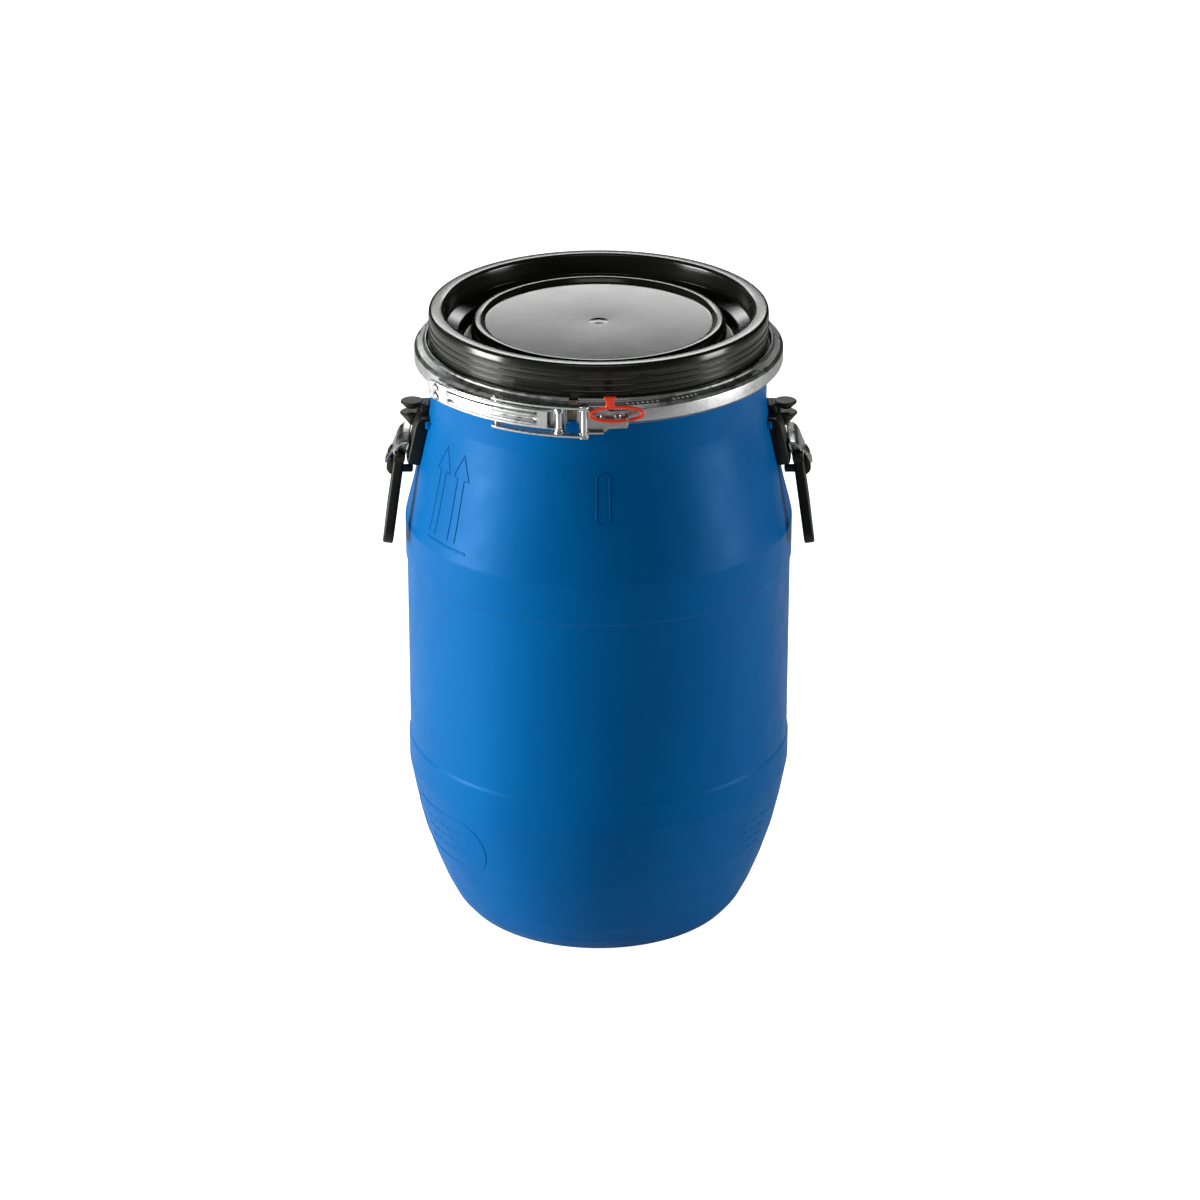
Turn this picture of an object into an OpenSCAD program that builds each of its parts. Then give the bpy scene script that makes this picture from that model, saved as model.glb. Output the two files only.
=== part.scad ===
// Open head plastic drum: blow-moulded shell, pressed-down lid, lever closure ring and two bail handles.
// Millimetres, +Z up, origin on the floor under the middle of the drum, closure lever at the front (-Y).

/* [Drum] */
// Widest diameter, over the two bands
body_d = 310; // [280:1:340]
// Height from the floor to the rim of the lid
total_h = 516; // [470:1:560]
// Thickness of the moulded wall
wall = 3; // [2:0.1:5]
// How far the two bands stand out of the label panel
band_step = 1.2; // [0.4:0.1:3]
// How far the moulded marks stand out of the wall
mark_h = 0.9; // [0.3:0.1:1.5]

/* [Lid] */
// Diameter over the skirt of the lid
lid_d = 268; // [250:1:276]
// Thickness of the lid
lid_wall = 3; // [2:0.1:4]
// Depth of the middle disc under the rim
disc_drop = 13; // [6:0.5:20]
// Diameter of the flat middle disc
disc_d = 178; // [120:1:190]

/* [Closure ring] */
// Outside diameter of the galvanised ring
ring_d = 291; // [286:0.5:296]
// Height of the upright outer wall of the ring
ring_wall_h = 11; // [8:0.5:14]
// Thickness of the ring sheet
ring_sheet = 1.5; // [1:0.1:2]
// Azimuth of the gap from the front toward the left, degrees
gap_a = 8; // [6:0.25:10]
// Width of the gap, degrees
gap_w = 3; // [2:0.25:5]

/* [Lever closure] */
// Azimuth of the lever fulcrum, degrees
fulcrum_a = 11.5; // [11:0.25:14]
// Azimuth of the pivot between lever and link, degrees
link_a = 31.5; // [28:0.25:36]
// Azimuth of the draw pin, degrees
draw_a = 4.2; // [3:0.1:5]
// Azimuth of the lever tip, degrees
tip_a = 60.5; // [50:0.5:66]
// Radius from the drum axis to the pins
pin_r = 151; // [150:0.1:151.1]
// Diameter of the fulcrum pin and the draw pin
pin_d = 5; // [4:0.1:5.5]
// Radius from the drum axis to the pivot between lever and link
link_r = 148.4; // [148:0.1:149]
// Diameter of that pivot
link_pin_d = 4; // [3:0.1:4.4]
// Height of the lever
lever_h = 16.4; // [14:0.1:18]

/* [Handles] */
// Half the width of the handle base
base_half = 24; // [22:0.5:26]
// Half the outside width of the steel bracket
bracket_half = 22; // [20:0.5:22.5]
// Distance from drum axis to handle pivot
pivot_x = 158; // [157.5:0.5:158.5]
// Height of the handle pivot
pivot_z = 395.5; // [395:0.5:396.5]
// Drop from the pivot to the middle of the grip
bail_drop = 63; // [60:0.5:70]
// Half the width of the grip
bail_half = 43; // [36:0.5:50]
// Thickness of the bail
bail_t = 8.5; // [6:0.1:11]
// Lean of the resting bail away from the wall, degrees
bail_lean = 8.4; // [7:0.1:10]

/* [Hidden] */
$fn = 96;
fit = 0.05;                      // radial clearance of a pin in its hole
seat = 0.1;                      // gap between two fixed pieces that lie on each other

// Drum
body_r = body_d / 2;
panel_r = body_r - band_step;
foot_r = body_r * 0.675;         // flat the drum stands on
neck_r = body_r * 0.858;
bore_r = neck_r - 7.5;           // open mouth
flange_r = ring_d / 2 - ring_sheet - 2;
shoulder_top_z = total_h - 85;   // the shoulder ends here and the neck begins
shoulder_z = total_h - 168;      // the upper band ends here
upper_band_z = total_h - 208;
lower_band_z = total_h * 0.30;
belly_z = total_h * 0.245;       // the lower band begins here
part_z = total_h - 37.6;         // drum flange and lid flange meet at this height
lip_top_z = total_h - 15.5;

// Outer line of the shell, grown by e: foot, rounded belly, two bands, shoulder and neck
function outer_line(e) = [
    [foot_r + e, 0],
    [foot_r + 7 + e, 4],
    [foot_r + 14.5 + e, 13],
    [foot_r + 22.5 + e, 29],
    [foot_r + 31 + e, 51],
    [foot_r + 39 + e, 76],
    [foot_r + 45 + e, 102],
    [body_r - 1.4 + e, belly_z - 3],
    [body_r + e, belly_z + 2],
    [body_r + e, lower_band_z - 2],
    [panel_r + e, lower_band_z],
    [panel_r + e, upper_band_z],
    [body_r + e, upper_band_z + 2],
    [body_r + e, shoulder_z - 6],
    [body_r - 2.2 + e, shoulder_z + 4],
    [neck_r + 15.4 + e, shoulder_z + 20],
    [neck_r + 1.6 + e, shoulder_top_z - 2],
    [neck_r + e, shoulder_top_z + 8]];

// The same line run downward, shrunk by a negative e, without the two foot points
function inner_line(e) = [for (i = [len(outer_line(e)) - 1 : -1 : 2]) outer_line(e)[i]];

// Lid
lid_r = lid_d / 2;
rim_in_r = lid_r - 12.5;
disc_r = disc_d / 2;
disc_z = total_h - disc_drop;
bead_r = disc_r + 10.5;
groove_z = total_h - 29;

// Closure ring
ring_r = ring_d / 2;
ring_z = total_h - 36.5;         // middle of the outer wall
ring_half = ring_wall_h / 2;
lip_r = ring_r - 9;
lip_rise = 5.6;                  // the two lips run inward and away from the middle

// Height of the inner face of the lips above the middle of the ring, at radius r
function lip_gap(r) = ring_half - 0.9 + (ring_r - ring_sheet - r) * (lip_rise - 0.6) / (ring_r - ring_sheet - lip_r + 0.8);
flange_play = 0.5;               // the flanges stay this far below it

// Lever closure
lever_z = total_h - 39;          // middle height of lever, link and pins
lever_r = pin_r + 1.2;           // outer face of the lever web
sheet = 1.6;
lever_half = lever_h / 2;
ear_in = lever_half + 0.4;       // bracket ears lie outside the lever
ear_out = ear_in + sheet;
strap_in = ear_out + 0.4;        // link straps lie outside the ears
strap_out = strap_in + 1.8;
head_h = 1.2;
ear_r = 3.9;                     // ears of the two brackets
eye_r = 3.4;                     // eyes of the lever
rivet_d = 3;
fulcrum_rivets = [fulcrum_a + 5, fulcrum_a + 8.5];
draw_rivets = [0.2, -5.6];

// Seal
seal_a = -5.2;
seal_r = 150.4;
seal_z = total_h - 33;
seal_half_w = 20;
seal_half_h = 5.7;
seal_stem = -5;                  // the tongue stands this far to the left of the middle
seal_t = 1.35;                   // half thickness of the strand

// Handles
cone_r0 = neck_r + 1.6;
cone_z0 = shoulder_top_z - 2;
cone_r1 = neck_r + 15.4;
cone_z1 = shoulder_z + 20;
base_t = 10.5;                   // the pad stands this far out of the wall
base_top = cone_z0;
base_low = cone_z0 - 39.5;
block_top = base_top + 6.4;      // the narrow block over the pad reaches this high
tongue_x = neck_r + 15;          // middle of the two round tongues
fold_z = pivot_z + 13.8;         // top of the steel bracket
tip_half = 7.5;                  // the front of the bracket narrows to this half width
cheek_out = 16.1;                // cheeks under the bracket hold the pin
cheek_r = 4.6;
rivet_z = pivot_z + 6.6;
bumper_r = 6.3;
bumper_half = 8;
hub_r = 4.6;
hub_w = 8.4;
hub_y = cheek_out + 0.5 + hub_w / 2;
handle_pin_d = 5;

// Radius of the shoulder cone at height z
function cone_r(z) = cone_r0 + (cone_z0 - z) * (cone_r1 - cone_r0) / (cone_z0 - cone_z1);

// Turn to azimuth a: local +X points outward, local +Y points right as seen from the front
module at(a)
    rotate([0, 0, -90 - a]) children();

// Ring sector of the section given in the r-z plane, between azimuths a0 < a1
module sweep(a0, a1)
    rotate([0, 0, -90 - a1]) rotate_extrude(angle = a1 - a0) children();

// Flat ring sector from z0 to z1
module sector(r0, r1, a0, a1, z0, z1)
    sweep(a0, a1) translate([r0, z0]) square([r1 - r0, z1 - z0]);

// Pin about a vertical axis at azimuth a and radius r, h each side of lever_z, with a head at both ends
module closure_pin(a, r, h, d, heads)
    at(a) translate([r, 0, lever_z]) {
        cylinder(d = d, h = 2 * h + (heads ? head_h : 0), center = true);
        if (heads)
            for (side = [-1, 1])
                translate([0, 0, side * (h + head_h / 2 + seat / 2)])
                    cylinder(d = d + 2.6, h = head_h, center = true);
    }

// Round bar in the drawing plane from p to q
module bar(p, q, w) {
    run = q - p;
    translate(p) rotate(atan2(run[1], run[0])) translate([0, -w / 2]) square([norm(run), w]);
    translate(p) circle(d = w + 0.2, $fn = 48);
    translate(q) circle(d = w + 0.2, $fn = 48);
}

// Raised mark: the drawing is projected outward on the wall at azimuth a
module wall_mark(a, z)
    intersection() {
        rotate_extrude() polygon(concat(outer_line(mark_h), inner_line(-wall / 2)));
        at(a) translate([neck_r - wall, 0, z]) rotate([90, 0, 90]) linear_extrude(height = 40) children();
    }

// "This way up" arrow, w wide and h high, standing on its foot
module up_arrow(w, h)
    polygon([
        [-w * 0.22, 0], [w * 0.22, 0], [w * 0.22, h * 0.62], [w / 2, h * 0.62],
        [0, h], [-w / 2, h * 0.62], [-w * 0.22, h * 0.62]]);

// Upright rounded frame
module capsule_frame(w, h, t)
    difference() {
        capsule(w, h);
        capsule(w - 2 * t, h - 2 * t);
    }

module capsule(w, h)
    union() {
        square([w, h - w], center = true);
        for (side = [-1, 1])
            translate([0, side * (h - w) / 2]) circle(d = w - 0.02, $fn = 48);
    }

module drum_shell()
    color([0.05, 0.35, 0.62]) {
        difference() {
            union() {
                rotate_extrude(convexity = 6) polygon(concat(
                    outer_line(0),
                    [
                        [neck_r, ring_z - lip_gap(neck_r + 2) + flange_play],
                        [lip_r, ring_z - lip_gap(lip_r) + flange_play],
                        [flange_r, ring_z - lip_gap(flange_r) + flange_play],
                        [flange_r, part_z - 1],
                        [neck_r + 1.5, part_z],
                        [neck_r - 3.4, part_z + 2],
                        [neck_r - 3.4, lip_top_z - 1],
                        [neck_r - 4.2, lip_top_z],
                        [bore_r, lip_top_z],
                        [bore_r, part_z - 12],
                        [neck_r - wall, part_z - 20]],
                    inner_line(-wall),
                    [[foot_r + 5, wall + 2.5], [foot_r - 2, wall + 1.5], [0, wall + 4.5], [0, 3],
                     [foot_r - 12, 3], [foot_r - 5, 0]]));
                for (a = [59, 47])
                    wall_mark(a, shoulder_z + 16) up_arrow(19, total_h * 0.12);
                wall_mark(50, shoulder_z + 7) translate([-22, 0]) square([44, 3.6]);
                wall_mark(-1.3, shoulder_z + 62) capsule_frame(12, 40, 1.6);
                wall_mark(58, total_h * 0.19) rotate(90) capsule_frame(48, 100, 1.6);
                // small lugs on both sides of each handle pad
                for (x = [-1, 1])
                    for (y = [-1, 1])
                        translate([x * (cone_r0 - 0.6), y * (base_half + 2.4), cone_z0 - 3])
                            cube([8, 4, 8], center = true);
            }
        }
    }

module lid()
    color([0.10, 0.11, 0.10])
        rotate_extrude(convexity = 8) polygon([
            // flange that the ring grips
            [lid_r - 3, part_z + 2],
            [flange_r - 1, part_z + 0.8],
            [flange_r, part_z + 1.8],
            [flange_r, ring_z + lip_gap(flange_r) - flange_play],
            [lip_r, ring_z + lip_gap(lip_r) - flange_play],
            [lid_r, ring_z + lip_gap(lid_r) - flange_play],
            // skirt and rim
            [lid_r, total_h - 3],
            [lid_r - 0.9, total_h - 0.9],
            [lid_r - 3, total_h],
            [rim_in_r + 3, total_h],
            [rim_in_r + 0.9, total_h - 0.9],
            [rim_in_r, total_h - 3],
            // inner wall, shelf, groove, bead and disc
            [rim_in_r - 1, total_h - 15],
            [rim_in_r - 11, total_h - 20],
            [rim_in_r - 14, groove_z],
            [bead_r + 2.5, groove_z],
            [bead_r, disc_z - 3],
            [bead_r - 2, disc_z + 2.2],
            [bead_r - 5, disc_z + 3.6],
            [bead_r - 8, disc_z + 2.2],
            [disc_r, disc_z],
            [3, disc_z],
            [2.6, disc_z + 0.8],
            [0, disc_z + 1],
            [0, disc_z - lid_wall],
            [bead_r - 4, disc_z - lid_wall],
            [bead_r - 1.2, groove_z - lid_wall],
            [rim_in_r - 11.4, groove_z - lid_wall],
            [rim_in_r - 8.2, total_h - 22.4],
            [bore_r - 1.5, total_h - 19],
            [bore_r - 1.5, total_h - 10.2],
            [bore_r - 0.4, total_h - 9.2],
            [neck_r - 3, total_h - 9.2],
            [neck_r - 2.4, total_h - 10.2],
            [neck_r - 2.4, part_z + 3.2]]);

module lid_gasket()
    color([0.16, 0.16, 0.17])
        rotate_extrude()
            translate([bore_r + 0.3, lip_top_z + seat]) square([3.2, 6]);

module closure_ring()
    color([0.62, 0.63, 0.62])
        difference() {
            sweep(gap_a + gap_w / 2, gap_a - gap_w / 2 + 360)
                polygon([
                    [ring_r, ring_z - ring_half],
                    [ring_r, ring_z + ring_half],
                    [lip_r, ring_z + ring_half + lip_rise],
                    [lip_r - 0.8, ring_z + ring_half + lip_rise - ring_sheet],
                    [ring_r - ring_sheet, ring_z + ring_half - 0.9],
                    [ring_r - ring_sheet, ring_z - ring_half + 0.9],
                    [lip_r - 0.8, ring_z - ring_half - lip_rise + ring_sheet],
                    [lip_r, ring_z - ring_half - lip_rise]]);
            ring_rivet_holes(fulcrum_rivets);
            ring_rivet_holes(draw_rivets);
        }

// Plate that lies on the outer wall of the ring
module ring_plate(a0, a1)
    sector(ring_r + seat, ring_r + seat + sheet, a0, a1, lever_z - ear_out, lever_z + ear_out);

// Two ears about the pin at azimuth a, joined to the plate; the hole is cut by the caller
module ears(a)
    for (side = [-1, 1])
        at(a) translate([0, 0, lever_z + side * (ear_in + ear_out) / 2])
            linear_extrude(height = sheet, center = true) {
                translate([pin_r, 0]) circle(r = ear_r, $fn = 48);
                translate([ring_r + seat + 0.2, -ear_r + 0.3])
                    square([pin_r - ring_r, 2 * ear_r - 0.6]);
            }

module fulcrum_bracket()
    color([0.66, 0.67, 0.66])
        difference() {
            union() {
                ears(fulcrum_a);
                ring_plate(fulcrum_a - 1.6, fulcrum_a + 10);
            }
            closure_pin(fulcrum_a, pin_r, ear_out + 1, pin_d + 2 * fit, false);
            // the plate is narrower than the lever channel that closes over it
            for (side = [-1, 1])
                sector(ring_r - 1, ring_r + 9, fulcrum_a + 3, fulcrum_a + 11,
                    lever_z + side * 10.5 - 4.5, lever_z + side * 10.5 + 4.5);
            ring_rivet_holes(fulcrum_rivets);
        }

// Place a rivet on the outer face of a ring plate, its axis pointing outward
module on_ring_plate(azimuths)
    for (a = azimuths)
        at(a) translate([ring_r + seat + sheet, 0, ring_z]) rotate([0, 90, 0]) children();

// Rivets through plate and ring wall
module ring_rivets(azimuths)
    on_ring_plate(azimuths) {
        translate([0, 0, seat]) cylinder(d1 = 5.2, d2 = 3.6, h = 1.2, $fn = 48);
        translate([0, 0, -sheet - seat - ring_sheet - 1]) cylinder(d = rivet_d, h = ring_sheet + sheet + 2, $fn = 48);
    }

module ring_rivet_holes(azimuths)
    on_ring_plate(azimuths)
        translate([0, 0, -sheet - 4]) cylinder(d = rivet_d + 2 * fit, h = sheet + 5, $fn = 48);

module fulcrum_bracket_rivets()
    color([0.72, 0.73, 0.72]) ring_rivets(fulcrum_rivets);

module draw_bracket()
    color([0.66, 0.67, 0.66])
        difference() {
            union() {
                ears(draw_a);
                ring_plate(-8.6, draw_a + 1.6);
                // flange folded out along the lower edge
                sector(ring_r + seat, pin_r, -1.5, draw_a, lever_z - ear_out, lever_z - ear_in);
                seal_lug();
            }
            // the tail is lower than the end that carries the ears
            for (side = [-1, 1])
                sector(ring_r - 1, ring_r + sheet + 0.4, -10, -1.5,
                    lever_z + side * 11 - 4, lever_z + side * 11 + 4);
            draw_slot();
            ring_rivet_holes(draw_rivets);
        }

// The eye of the draw pin is open outward, along the first travel of the pin
module draw_slot()
    at(draw_a) translate([pin_r, 0, 0]) rotate([0, 0, -(fulcrum_a + link_a) / 2 + draw_a])
        translate([0, 0, lever_z]) {
            cylinder(d = pin_d + 0.6, h = 2 * ear_out + 2, center = true);
            translate([0, -pin_d / 2 - 0.5, -ear_out - 1]) cube([12, pin_d + 1.4, 2 * ear_out + 2]);
        }

// Upright lug with a hole for the lower strand of the seal
module seal_lug()
    at(-8.2) difference() {
        translate([ring_r + seat + 0.3, -0.8, seal_z - seal_half_h - 4.2])
            cube([seal_r + 4.1 - ring_r - seat - 0.3, sheet, 8.2]);
        translate([seal_r + 0.2, -5, seal_z - seal_half_h]) rotate([-90, 0, 0]) cylinder(d = 5, h = 10, $fn = 48);
    }

// Thin strip behind the ring wall that bridges the gap
module gap_tongue()
    color([0.60, 0.58, 0.54])
        difference() {
            sector(flange_r + 0.5, flange_r + 1.5, -2.5, gap_a + gap_w / 2 + 3.2, ring_z - 4.2, ring_z + 4.2);
            ring_rivet_holes([draw_rivets[0]]);
        }

module draw_bracket_rivets()
    color([0.72, 0.73, 0.72]) ring_rivets(draw_rivets);

module lever()
    color([0.68, 0.69, 0.68])
        difference() {
            union() {
                // web, then the two flanges that make it a channel
                sector(lever_r - sheet, lever_r, fulcrum_a + 3.2, tip_a - 2, lever_z - lever_half, lever_z + lever_half);
                for (side = [-1, 1]) {
                    edge = lever_z + side * (lever_half - sheet / 2);
                    sector(ring_r + 0.8, lever_r - 0.2, fulcrum_a + 3.2, tip_a - 6, edge - sheet / 2, edge + sheet / 2);
                    at(fulcrum_a) translate([pin_r, 0, edge]) cylinder(r = eye_r, h = sheet, center = true);
                    at(fulcrum_a) translate([pin_r - eye_r + 0.05, -14, edge - sheet / 2]) cube([2 * eye_r - 0.1, 14, sheet]);
                    // stiffening ribs
                    sweep(fulcrum_a + 7, tip_a - 12) translate([lever_r - 0.2, lever_z + side * 3.4]) circle(r = 1.6, $fn = 32);
                }
                // rounded tip
                at(tip_a - 2) translate([lever_r - sheet, 0, lever_z]) rotate([0, 90, 0])
                    cylinder(r = lever_half - 0.05, h = sheet, $fn = 64);
                // two domed bumps
                for (side = [-1, 1])
                    at(tip_a - 6) translate([lever_r - 1.4, 0, lever_z + side * 4]) sphere(r = 3, $fn = 32);
            }
            closure_pin(fulcrum_a, pin_r, lever_half + 2, pin_d + 2 * fit, false);
            closure_pin(link_a, link_r, lever_half + 2, link_pin_d + 2 * fit, false);
        }

module fulcrum_pin()
    color([0.75, 0.76, 0.75]) closure_pin(fulcrum_a, pin_r, ear_out, pin_d, false);

module link_straps()
    color([0.64, 0.65, 0.64])
        difference() {
            for (side = [-1, 1]) {
                mid = lever_z + side * (strap_in + strap_out) / 2;
                half = (strap_out - strap_in) / 2;
                sector(pin_r - 4.2, pin_r + 3.4, draw_a, link_a, mid - half, mid + half);
                at(link_a) translate([link_r, 0, mid]) cylinder(r = 3.9, h = 2 * half, center = true);
                at(draw_a) translate([pin_r, 0, mid]) cylinder(r = 3.9, h = 2 * half, center = true);
            }
            closure_pin(link_a, link_r, strap_out + 1, link_pin_d + 2 * fit, false);
            closure_pin(draw_a, pin_r, strap_out + 1, pin_d + 2 * fit, false);
        }

// Two short pivots, one through each strap into the lever flange under it
module link_pin()
    color([0.75, 0.76, 0.75])
        difference() {
            closure_pin(link_a, link_r, strap_out, link_pin_d, true);
            closure_pin(link_a, link_r, lever_half - 2.6, link_pin_d + 2, false);
        }

module draw_pin()
    color([0.75, 0.76, 0.75]) closure_pin(draw_a, pin_r, strap_out, pin_d, true);

module seal_tag()
    color([0.92, 0.16, 0.10])
        at(seal_a) translate([seal_r - seal_t, 0, seal_z]) rotate([90, 0, 90])
            linear_extrude(height = 2 * seal_t) {
                difference() {
                    capsule_flat(2 * seal_half_w + 2 * seal_t, 2 * seal_half_h + 2 * seal_t);
                    capsule_flat(2 * seal_half_w - 2 * seal_t, 2 * seal_half_h - 2 * seal_t);
                }
                translate([seal_stem, seal_half_h])
                    polygon([[-3.8, 0], [3.8, 0], [2.8, 4], [5.4, 8.6], [-5.4, 8.6], [-2.8, 4]]);
            }

// Rounded bar lying on its side
module capsule_flat(w, h)
    rotate(90) capsule(h, w);

// Draw the child for the right handle (+X) as it is, for the left one mirrored
module on_side(side)
    mirror([side < 0 ? 1 : 0, 0, 0]) children();

module handle_base(side)
    color([0.12, 0.12, 0.11]) on_side(side)
        difference() {
            union() {
                base_block(base_half) polygon([
                    [cone_r(base_top) + seat, base_top],
                    [cone_r(base_top) + base_t - 2.5, base_top],
                    [cone_r(base_top) + base_t - 0.5, base_top - 2],
                    [cone_r(base_top - 5) + base_t, base_top - 5],
                    [cone_r(base_low + 2.4) + base_t, base_low + 2.4],
                    [cone_r(base_low) + seat, base_low]]);
                // narrow block over the pad
                base_block(8.9) polygon([
                    [neck_r + 2.6, base_top - 2],
                    [neck_r + 1.7, base_top + 0.4],
                    [neck_r + 0.9, block_top],
                    [neck_r + 6.6, block_top],
                    [neck_r + 8, block_top - 1.6],
                    [neck_r + 8.4, base_top - 2]]);
                tongue(base_top + 1.6, base_top + 7.6, 5, 9.2);
                tongue(base_top - 13.4, base_top - 2, 1.6, 10);
            }
            handle_rivet_holes();
        }

// Tongue that stands out of the pad: a round or cone between two heights, and its root in the pad
module tongue(z0, z1, r0, r1)
    difference() {
        union() {
            translate([tongue_x, 0, z0]) cylinder(r1 = r0, r2 = r1, h = z1 - z0, $fn = 64);
            translate([neck_r + 6, -r0, z0]) cube([tongue_x - neck_r - 6, 2 * r0, z1 - z0]);
        }
        rotate_extrude() translate([10, 0]) square([neck_r - 5, total_h]);
    }

// Part of a ring about the drum axis, cut to a block of half width w on the +X side
module base_block(w)
    intersection() {
        rotate_extrude() children();
        translate([neck_r - 20, -w, 0]) cube([60, 2 * w, total_h]);
    }

// Radius of the outer face of the pad at height z
function pad_r(z) = cone_r(z) + base_t;

// Outer side line of the bracket in x and z, from the back flange over the fold to the tip; e is the depth under it
function bracket_line(e) = [
    [pad_r(pivot_z - 3) + 0.2 + e, pivot_z - 3],
    [pad_r(fold_z) + 0.4 + e, fold_z - e],
    [pivot_x - 2.5 - 0.36 * e, fold_z - e],
    [pivot_x + 0.8 - 0.76 * e, fold_z - 2.7 - 0.65 * e],
    [pivot_x + 12.5 - 0.87 * e, fold_z - 23 - 0.5 * e]];

function bracket_section(e0, e1) = concat(bracket_line(e0), [for (i = [4 : -1 : 0]) bracket_line(e1)[i]]);

module handle_bracket(side)
    color([0.64, 0.65, 0.64]) on_side(side)
        difference() {
            union() {
                // back flange, fold and sloping front of one bent sheet; the front narrows to its tip
                intersection() {
                    along_y(2 * bracket_half + 2) polygon(bracket_section(0, sheet));
                    rotate([90, 0, 90]) linear_extrude(height = pivot_x + 40)
                        polygon([
                            [-bracket_half, total_h], [-bracket_half, pivot_z + 6.7],
                            [-cheek_out - 0.1, pivot_z + 4.8], [-tip_half - 0.5, pivot_z - 1],
                            [-tip_half, pivot_z - 14], [tip_half, pivot_z - 14],
                            [tip_half + 0.5, pivot_z - 1], [cheek_out + 0.1, pivot_z + 4.8],
                            [bracket_half, pivot_z + 6.7], [bracket_half, total_h]]);
                }
                // cheeks that hold the pin
                for (y = [-1, 1])
                    translate([0, y * (cheek_out - sheet / 2), 0]) along_y(sheet)
                        intersection() {
                            polygon(concat(bracket_line(0.6), [[pivot_x, pivot_z - 12]]));
                            union() {
                                translate([pivot_x, pivot_z]) circle(r = cheek_r, $fn = 48);
                                translate([pivot_x - cheek_r, pivot_z]) square([2 * cheek_r, 14]);
                            }
                        }
            }
            translate([pivot_x, 0, pivot_z]) along_y(3 * bracket_half) circle(d = handle_pin_d + 2 * fit, $fn = 48);
            // slot for the peg of the bumper
            bumper_peg(3.1, 3.6);
            handle_rivet_holes();
        }

// Side drawing in x and z, l wide along Y
module along_y(l)
    rotate([90, 0, 0]) linear_extrude(height = l, center = true) children();

// Peg through the sloping front, half width w and half height h
module bumper_peg(w, h)
    translate([pivot_x + 6.8, 0, pivot_z - 1.2]) rotate([0, -30, 0])
        cube([6, 2 * w, 2 * h], center = true);

// Plastic bumper under the tip of the bracket, held by its peg
module handle_bumper(side)
    color([0.10, 0.10, 0.09]) on_side(side) {
        along_y(2 * bumper_half) {
            translate([pivot_x + 4.8, pivot_z - 14]) circle(r = bumper_r, $fn = 64);
            polygon([
                bracket_line(sheet + 0.2)[4] + [-3.5, 6.1],
                bracket_line(sheet + 0.2)[4] + [0, 0],
                [pivot_x + 4.8 + bumper_r - 0.1, pivot_z - 13.6],
                [pivot_x + 4.8, pivot_z - 14],
                [pivot_x + 3.6, pivot_z - 8.6]]);
        }
        bumper_peg(3, 3.5);
    }

// Rivet axes of one handle: through bracket, base and wall, level with the cone
module handle_rivet_axes()
    for (y = [-8, 8])
        translate([0, y, rivet_z]) rotate([0, 90, 0]) children();

module handle_rivet_holes()
    handle_rivet_axes() translate([0, 0, neck_r - 10]) cylinder(d = 4 + 2 * fit, h = 32, $fn = 48);

module handle_rivets(side)
    color([0.72, 0.73, 0.72]) on_side(side)
        handle_rivet_axes() {
            translate([0, 0, cone_r(rivet_z) + 1]) cylinder(d = 4, h = base_t + sheet + 1, $fn = 48);
            translate([0, 0, cone_r(rivet_z) + base_t + sheet + 1.2]) cylinder(d1 = 7, d2 = 4.6, h = 1.4, $fn = 48);
        }

module handle_pin(side)
    color([0.75, 0.76, 0.75]) on_side(side)
        translate([pivot_x, 0, pivot_z]) rotate([90, 0, 0])
            cylinder(d = handle_pin_d, h = 2 * (hub_y + hub_w / 2), center = true);

module bail(side)
    color([0.10, 0.10, 0.09]) on_side(side)
        translate([pivot_x, 0, pivot_z])
            difference() {
                union() {
                    // arms and grip in their own plane
                    rotate([0, -bail_lean, 0]) rotate([90, 0, 90]) linear_extrude(height = bail_t, center = true)
                        for (y = [-1, 1]) {
                            bar([y * hub_y, -6], [y * bail_half, -bail_drop + 5], hub_w);
                            bar([y * bail_half, -bail_drop + 5], [y * (bail_half - 5), -bail_drop], hub_w);
                            bar([y * (bail_half - 5), -bail_drop], [0, -bail_drop], hub_w);
                        }
                    // hubs on the pin, each with a finger that stops the bail before it meets the wall
                    for (y = [-1, 1])
                        translate([0, y * hub_y, 0]) {
                            along_y(hub_w) circle(r = hub_r, $fn = 64);
                            rotate([0, -bail_lean, 0])
                                translate([0, 0, -4]) cube([bail_t - 0.4, hub_w - 0.2, 8], center = true);
                            translate([-10.8, -hub_w / 2 + 0.3, -11]) cube([11, hub_w - 0.6, 4.6]);
                        }
                }
                along_y(3 * bracket_half) circle(d = handle_pin_d + 2 * fit, $fn = 48);
            }

drum_shell();
lid();
lid_gasket();
closure_ring();
fulcrum_bracket();
fulcrum_bracket_rivets();
draw_bracket();
draw_bracket_rivets();
gap_tongue();
lever();
fulcrum_pin();
link_straps();
link_pin();
draw_pin();
seal_tag();
handle_base(-1);  // handle_base_left
handle_base(1);  // handle_base_right
handle_bracket(-1);  // handle_bracket_left
handle_bracket(1);  // handle_bracket_right
handle_rivets(-1);  // handle_rivets_left
handle_rivets(1);  // handle_rivets_right
handle_bumper(-1);  // handle_bumper_left
handle_bumper(1);  // handle_bumper_right
handle_pin(-1);  // handle_pin_left
handle_pin(1);  // handle_pin_right
bail(-1);  // bail_left
bail(1);  // bail_right
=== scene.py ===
"""Look of the open head drum: blue moulded drum, black lid, galvanised lever closure ring and two bails.

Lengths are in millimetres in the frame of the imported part, and turn to metres when a mesh is made.
Lights and the camera are placed in metres. An azimuth is in degrees from the front towards the left.
"""

import math

import bmesh
import bpy
from mathutils import Matrix, Vector


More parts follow.
